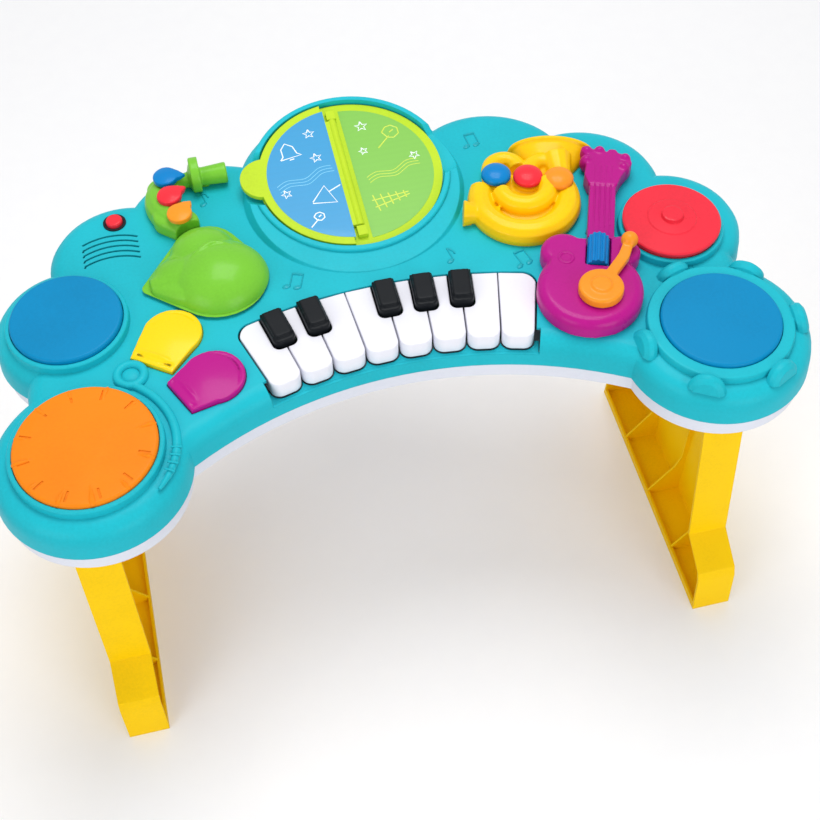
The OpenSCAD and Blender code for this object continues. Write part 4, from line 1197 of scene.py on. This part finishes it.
@dataclass
class Trumpet:
    """Coiled tubes, a flared bell, a mouthpiece and three domed valve buttons."""

    maker: Maker
    valves: tuple[tuple[str, float, float], ...] = (
        ("blue", 118.0, 189.0), ("red", 143.5, 180.5), ("orange", 168.0, 171.5))
    coil: tuple[Bend, ...] = (
        Bend((136, 164, 5), 37, 146, 250, 11.5), Bend((138, 172, 12), 20, 176, 196, 8.5),
        Bend((129, 201, 8), 12, -10, 200, 8), Bend((161, 191, 8), 12, -20, 210, 8))
    fittings: tuple[Bar | Blob, ...] = (
        Bar("mouthpiece", ((112, 154, 6), (98, 157, 6.5), (90, 159, 7), (82, 161, 7.5)),
            (6.5, 6.5, 8.5, 11.5)),
        Bar("bell_pipe", ((172, 172, 6), (174, 188, 7), (176, 204, 8)), (9, 10, 14)),
        Blob("belly", (138, 166, 1), (36, 35, 9)))
    mouth: tuple[float, float] = (176.0, 218.0)
    mouth_r: float = 36.0
    throat_r: float = 13.0
    flatten: float = 0.52
    bell_depth: float = 32.0
    bell_turn: float = -16.0
    rim_r: float = 2.2
    cap_z: float = 15.9
    cap_r: float = 12.5
    cap_rise: float = 1.6

    def build(self) -> None:
        """Makes the body and the buttons."""
        self.body()
        for colour, u, v in self.valves:
            self.button(colour, u, v)

    def body(self) -> None:
        """Melts tubes, bell and mouthpiece into one casting."""
        parts = [tube.drawn(DECK_Z) for tube in self.coil]
        for _, u, v in self.valves:
            parts.append(Bench.cylinder("valve_seat", spot(u, v, DECK_Z - 2), 12.0, 15.0))
        row = [spot(u, v, DECK_Z + 4) for _, u, v in self.valves]
        parts.append(Bench.tube("seat_bar", row, 8))
        parts += [form.drawn(DECK_Z) for form in self.fittings]
        piece = Bench.cast("trumpet_body_moulding", [self.bell(), *parts], 0.9, 4)
        Bench.trim(piece, DECK_Z)
        self.maker.hand_over(piece, "table", "yellow_plastic", TRUMPET_YELLOW, ["trumpet_body"])

    def bell(self) -> Piece:
        """Opens the bell as a half cone with a rolled rim.

        Returns:
            The bell.
        """
        Bench.clear()
        bpy.ops.mesh.primitive_cone_add(vertices=56, radius1=self.mouth_r * MM,
                                        radius2=self.throat_r * MM, depth=self.bell_depth * MM,
                                        location=(0, 0, 0))
        cone = Bench.named("bell")
        with Bench.editing(cone):
            bpy.ops.transform.resize(value=(1, self.flatten, 1))
        lean = Matrix.Rotation(math.radians(self.bell_turn), 4, "Z")
        swing = lean @ Matrix.Rotation(math.radians(90), 4, "X")
        axis = lean @ Vector((0, 1, 0))
        mouth = spot(*self.mouth, DECK_Z + 1)
        cone.matrix_world = Matrix.Translation(mouth - axis * (self.bell_depth / 2 * MM)) @ swing
        rim = []
        for step in range(13):
            a = math.pi * step / 12
            side = lean @ Vector((self.mouth_r * math.cos(a), 0, 0))
            rise = Vector((0, 0, self.mouth_r * self.flatten * math.sin(a)))
            rim.append(mouth + (side + rise) * MM)
        return Bench.together("bell", [cone, Bench.tube("rolled_rim", rim, self.rim_r, 12)])

    def button(self, colour: str, u: float, v: float) -> None:
        """Domes one valve button over its plunger.

        Args:
            colour: The button's colour.
            u: Its place to the right.
            v: Its place to the back.
        """
        node = f"valve_button_{colour}"
        base = DECK_Z + self.cap_z
        seam = base + self.cap_rise
        cap = Bench.ball("cap", spot(u, v, seam), (self.cap_r, self.cap_r, 5.6))
        rim = Bench.cylinder("rim", spot(u, v, base), self.cap_r - 0.2, 2.4)
        Bench.trim(cap, seam)
        Bench.round_off(rim, lambda a, b: max(a.z, b.z) < (base + 0.1) * MM, 0.8, 3)
        stem = self.maker.copy(node, "stem")
        Bench.trim(stem, base + 0.4, keep_below=True)
        piece = Bench.together(node + "_cap", [cap, rim, stem])
        self.maker.hand_over(piece, node, f"{colour}_plastic", BUTTONS[colour], [node], 50)


@dataclass
class Guitar:
    """Soft body with strings, pegs and control, strum roller and swinging lever."""

    maker: Maker
    turn: float = 20.0
    neck_foot: tuple[float, float] = (184.0, 106.0)
    stretch_from: float = 30.0
    stretch_rate: float = 0.3
    stretch_most: float = 9.0
    pegs: tuple[tuple[float, float], ...] = ((-15, 96), (-4, 97), (-15, 85), (18, 90), (17, 79))
    peg_size: Place = (5.6, 5.6, 9)
    strings: tuple[float, ...] = (-6.5, -2.2, 2.2, 6.5)
    string_path: tuple[Place, ...] = (
        (1, -4, 13.2), (1, 20, 13.9), (1, 50, 14), (1.1, 78, 14.6))
    control: Place = (147, 84, 16.4)

    def along(self, x: float, y: float, z: float) -> Vector:
        """Gives a place of the neck's own frame: x across, y along it."""
        swing = Matrix.Rotation(math.radians(-self.turn), 2)
        moved = swing @ Vector((x, y))
        return spot(self.neck_foot[0] + moved.x, self.neck_foot[1] + moved.y, z)

    def build(self) -> None:
        """Makes body, roller and lever."""
        self.body()
        self.maker.skin("strum_roller", "strum_roller", "blue_plastic", BUTTON_BLUE)
        self.lever()

    def lever(self) -> None:
        """Melts the lever and closes its hub over the screw."""
        node = "whammy_lever"
        low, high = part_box("lever_screw")
        middle = (low + high) / 2
        foot = Vector((middle.x, middle.y, high.z + 0.3 * MM))
        hub = Bench.cylinder("hub_cap", foot, 8.0, 2.4)
        piece = Bench.cast(node + "_moulding", [self.maker.copy(node, "core"), hub], 0.8, 4)
        self.maker.hand_over(piece, node, "orange_plastic", BUTTON_ORANGE, [node])

    def body(self) -> None:
        """Melts the body, then adds strings and the round control."""
        core = self.maker.copy("guitar_body", "core")
        axis = (self.along(0, 1, 0) - self.along(0, 0, 0)).normalized()
        for point in core.data.vertices:
            ahead = (point.co - self.along(0, self.stretch_from, 0)).dot(axis)
            if ahead > 0:
                point.co += axis * min(ahead * self.stretch_rate, self.stretch_most * MM)
        pegs = [Bench.ball("peg", self.along(x, y, DECK_Z + 9), self.peg_size)
                for x, y in self.pegs]
        piece = Bench.cast("guitar_body_moulding", [core, *pegs], 1.0, 5)
        Bench.trim(piece, DECK_Z)
        trims = []
        for x in self.strings:
            points = [self.along(x * wide, y, DECK_Z + z) for wide, y, z in self.string_path]
            trims.append(Bench.tube("string", points, 0.75, 8))
        u, v, z = self.control
        trims.append(Bench.ring("control_ring", spot(u, v, DECK_Z + z), 5.5, 1.5, (32, 12)))
        piece = Bench.together("guitar_body_moulding", [piece, *trims])
        self.maker.hand_over(piece, "table", "purple_plastic", GUITAR_PURPLE, ["guitar_body"])


class Motif(Enum):
    """Generic line drawings for the book, each as strokes of [x, y] in millimetres."""

    TRIANGLE = (((-9, -7), (9, -7), (0, 9), (-9, -6)), ((3, 3), (12, 9)))
    BELL = (((-9, -7), (-6, -4), (-5, 4), (0, 9), (5, 4), (6, -4), (9, -7), (-9, -7)),
            ((-2, -9), (2, -9)))
    BARS = (((-12, -7), (-12, 7)), ((-7, -6), (-7, 6)), ((-2, -5), (-2, 5)), ((3, -4), (3, 4)),
            ((8, -3), (8, 3)), ((-14, 3), (11, 1)), ((-14, -3), (11, -1)))
    STAR = (((0, 5), (1.3, 1.6), (5, 1.5), (2, -0.8), (3.1, -4.2), (0, -2.2), (-3.1, -4.2),
             (-2, -0.8), (-5, 1.5), (-1.3, 1.6), (0, 5)),)
    SHAKER = (((-3, 4), (0, 8), (4, 9), (8, 6), (8, 1), (4, -2), (0, -1), (-3, 4)),
              ((1, 0), (-8, -9)), ((2, 3), (5, 5)))
    WAVE = (((-30, 0), (-20, 4), (-10, 0), (0, -4), (10, 0), (20, 4), (30, 0)),
            ((-30, -4), (-20, 0), (-10, -4), (0, -8), (10, -4), (20, 0), (30, -4)),
            ((-30, -8), (-20, -4), (-10, -8), (0, -12), (10, -8), (20, -4), (30, -8)))


@dataclass
class Book:
    """The round book with its turning page, sunk fields and generic prints."""

    maker: Maker
    middle: Place = (0.0, 228.0, 340.0)
    tilt: float = 5.75
    page_top: float = -0.3
    page_under: float = -4.25
    base_top: float = -4.4
    field_r: float = 71.5
    left_edge: float = -10.5
    right_edge: float = 3.5
    ink_rise: float = 0.2
    ink_flat: float = 0.25
    line_r: float = 0.55
    wave_r: float = 0.32
    drawings: tuple[tuple[Motif, float, float, float, float, str], ...] = (
        (Motif.WAVE, -40, 2, 16, 0.85, "page"), (Motif.BELL, -48, 32, 10, 1.05, "page"),
        (Motif.TRIANGLE, -27, -22, -8, 1.15, "page"), (Motif.STAR, -27, 48, 0, 1.0, "page"),
        (Motif.STAR, -58, -14, 20, 0.9, "page"), (Motif.STAR, -26, 20, 10, 1.0, "page"),
        (Motif.SHAKER, -38, -46, 0, 0.8, "page"),
        (Motif.WAVE, 36, -2, 14, 0.8, "base"), (Motif.BARS, 30, -34, 10, 1.3, "base"),
        (Motif.STAR, 20, 50, 0, 1.1, "base"), (Motif.SHAKER, 40, 34, 0, 1.3, "base"),
        (Motif.STAR, 58, 8, 30, 0.9, "base"), (Motif.STAR, 16, 22, 15, 0.8, "base"))

    def frame(self) -> Matrix:
        """Gives the tilted frame whose z = 0 is the book's own level."""
        lean = Matrix.Rotation(math.radians(self.tilt), 4, "X")
        return Matrix.Translation(spot(*self.middle)) @ lean

    def laid(self, piece: Piece, z: float) -> Piece:
        """Lays a piece that was drawn at the frame's origin on the book at a height."""
        raised = self.frame() @ Matrix.Translation((0, 0, z * MM))
        piece.matrix_world = raised @ piece.matrix_world
        return piece

    def build(self) -> None:
        """Dresses book and page and lays the prints."""
        self.maker.skin("book_base", "table", "lime_plastic", BOOK_LIME)
        self.maker.skin("book_page", "book_page", "lime_plastic", BOOK_LIME)
        left, right, top = self.left_edge, self.right_edge, self.base_top
        for name, side, edge, z, body, slot, finish, height in (
                ("page", -1, left, self.page_top, "book_page", "blue", PAGE_BLUE, 0.2),
                ("page_back", -1, left, self.page_under, "book_page", "green", PAGE_GREEN, 0.12),
                ("base", 1, right, top, "table", "green", PAGE_GREEN, 0.2),
                ("base_left", -1, left, top, "table", "blue", PAGE_BLUE, 0.08)):
            self.print_field(f"{name}_print", side, edge, z, body, f"{slot}_plastic", finish,
                             height)
        self.strokes("page", "book_page", self.page_top + self.ink_rise)
        self.strokes("base", "table", self.base_top + self.ink_rise)

    def print_field(self, name: str, side: int, edge: float, z: float, body: str, slot: str,
                    finish: PrintedSheet, height: float) -> None:
        """Cuts one half-round sheet from a disc.

        Args:
            name: The sheet's name.
            side: -1 for the left half, 1 for the right.
            edge: Place of its straight edge.
            z: Height that it lies on.
            body: The body that it rides on.
            slot: The record's material slot.
            finish: Its finish.
            height: Its thickness.
        """
        disc = Bench.cylinder(name, Vector((0, 0, 0)), self.field_r, height, 96)
        Bench.cut(disc, Vector((edge * MM, 0, 0)), Vector((side, 0, 0)), False)
        self.laid(disc, z)
        self.maker.hand_over(disc, body, slot, finish)

    def strokes(self, sheet: str, body: str, z: float) -> None:
        """Draws every motif of one sheet as flat ink lines.

        Args:
            sheet: The sheet's name in the list of drawings.
            body: The body that it rides on.
            z: Height that the lines lie on.
        """
        whites, tints = [], []
        for motif, x, y, turn, size, where in self.drawings:
            if where != sheet:
                continue
            swing = Matrix.Rotation(math.radians(turn), 2)
            wavy = motif is Motif.WAVE
            pale = wavy or (sheet == "base" and motif is not Motif.STAR)
            for line in motif.value:
                points = []
                for p in line:
                    moved = swing @ Vector(p) * size
                    points.append(Vector((x + moved.x, y + moved.y, 0)) * MM)
                thick = self.wave_r if wavy else self.line_r
                stroke = Bench.tube("stroke", points, thick, 8, smooth=wavy)
                (tints if pale else whites).append(stroke)
        ink = INK_PALE_BLUE if sheet == "page" else INK_LIME
        for name, lines, finish in (("white", whites, INK_WHITE), ("tint", tints, ink)):
            piece = Bench.together(f"{sheet}_ink_{name}", lines)
            Bench.take(piece)
            bpy.ops.transform.resize(value=(1, 1, self.ink_flat), center_override=(0, 0, 0))
            bpy.ops.object.transform_apply(location=True, rotation=True, scale=True)
            self.laid(piece, z)
            self.maker.hand_over(piece, body, "white_plastic", finish)


@dataclass(frozen=True)
class Studio:
    """Floor, lamps, surroundings and camera."""

    eye: Place = (-0.135, -0.7195, 1.136)
    heading: float = 12.547
    pitch: float = 54.1
    roll: float = -1.2
    lens: float = 58.149
    floor_half: float = 4.0
    aim: Place = (0, 0, 0.3)
    fill: float = 0.5
    boxes: tuple[tuple[str, Place, float, float], ...] = (
        ("top_box", (0.15, 0.5, 2.1), 1.1, 22), ("left_box", (-1.6, -1.3, 1.1), 1.2, 11),
        ("front_box", (0.8, -2.1, 0.9), 1.3, 15))

    def build(self) -> None:
        """Sets the stage."""
        self.floor()
        for box in self.boxes:
            self.lamp(*box)
        self.surroundings()
        self.camera()
        bpy.context.scene.view_settings.view_transform = "Standard"

    def floor(self) -> None:
        """Lays a white sweep that keeps soft shadows."""
        Bench.clear()
        bpy.ops.mesh.primitive_plane_add(size=2 * self.floor_half, location=(0, 0, -0.0002))
        sheet = Bench.named("studio_floor")
        graph = Graph("studio_floor_paper")
        grain = graph.noise(40.0, 3.0)
        paper = graph.blend(grain, srgb(236, 236, 238), srgb(240, 240, 241))
        graph.set(Base_Color=paper, Roughness=0.9, Specular_IOR_Level=0.1)
        seen = graph.node("ShaderNodeLightPath", {}, {}, "Is Camera Ray")
        glow = graph.node("ShaderNodeEmission", {}, {"Color": (1, 1, 1, 1), "Strength": 0.12})
        clear = graph.node("ShaderNodeEmission", {}, {"Color": (0, 0, 0, 1), "Strength": 0.0})
        lift = graph.node("ShaderNodeMixShader", {}, {0: seen, 1: clear, 2: glow})
        plain = Link(graph, graph.shader.outputs[0])
        total = graph.node("ShaderNodeAddShader", {}, {0: plain, 1: lift})
        graph.tree.links.new(total.socket, graph.output.inputs["Surface"])
        sheet.data.materials.append(graph.material)

    def lamp(self, name: str, place: Place, size: float, power: float) -> None:
        """Hangs one square soft box aimed at the table.

        Args:
            name: Its name.
            place: Its place in metres.
            size: Its side in metres.
            power: Its power in watts.
        """
        Bench.clear()
        bpy.ops.object.light_add(type="AREA", location=place)
        box = bpy.context.object
        box.name = name
        box.data.name = name
        box.data.size = size
        box.data.energy = power
        box.rotation_mode = "QUATERNION"
        box.rotation_quaternion = (Vector(self.aim) - Vector(place)).to_track_quat("-Z", "Y")

    def surroundings(self) -> None:
        """Fills the shadows with white light."""
        world = bpy.context.scene.world or bpy.data.worlds.new("studio")
        bpy.context.scene.world = world
        world.use_nodes = True
        tree = world.node_tree
        tree.nodes.clear()
        output, fill, white, path, either, mix = (
            tree.nodes.new("ShaderNode" + kind) for kind in (
                "OutputWorld", "Background", "Background", "LightPath", "Math", "MixShader"))
        for sky, strength in ((fill, self.fill), (white, 1.0)):
            sky.inputs["Color"].default_value = (1, 1, 1, 1)
            sky.inputs["Strength"].default_value = strength
        either.operation = "MAXIMUM"
        for start, end in ((path.outputs["Is Camera Ray"], either.inputs[0]),
                           (path.outputs["Is Glossy Ray"], either.inputs[1]),
                           (either.outputs[0], mix.inputs[0]), (fill.outputs[0], mix.inputs[1]),
                           (white.outputs[0], mix.inputs[2]), (mix.outputs[0], output.inputs[0])):
            tree.links.new(start, end)

    def camera(self) -> None:
        """Stands the camera in front of the table and above it."""
        Bench.clear()
        bpy.ops.object.camera_add(location=self.eye)
        cam = bpy.context.object
        cam.name = "studio_camera"
        turn, down, lean = (math.radians(a) for a in (self.heading, self.pitch, self.roll))
        level = math.cos(down)
        ahead = Vector((math.sin(turn) * level, math.cos(turn) * level, -math.sin(down)))
        right = Vector((math.cos(turn), -math.sin(turn), 0))
        up = right.cross(ahead)
        right, up = (math.cos(lean) * right + math.sin(lean) * up,
                     math.cos(lean) * up - math.sin(lean) * right)
        aimed = Matrix((right, up, -ahead)).transposed().to_4x4()
        cam.matrix_world = Matrix.Translation(self.eye) @ aimed
        cam.data.sensor_width = 36.0
        cam.data.lens = self.lens
        cam.data.clip_start = 0.05
        cam.data.clip_end = 40.0
        bpy.context.scene.camera = cam


def main() -> None:
    """Builds every sub-assembly in order."""
    logging.basicConfig(level=logging.INFO, format="%(name)s: %(message)s")
    maker = Maker(dict(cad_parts))
    for assembly in (Shells(maker), Keyboard(maker), Inside(maker), Drums(maker), Maracas(maker),
                     Saxophone(maker), Trumpet(maker), Guitar(maker), Book(maker)):
        LOG.info("building %s", type(assembly).__name__)
        assembly.build()
    Studio().build()
    LOG.info("%d new pieces", maker.made)


if __name__ == "__main__":
    main()
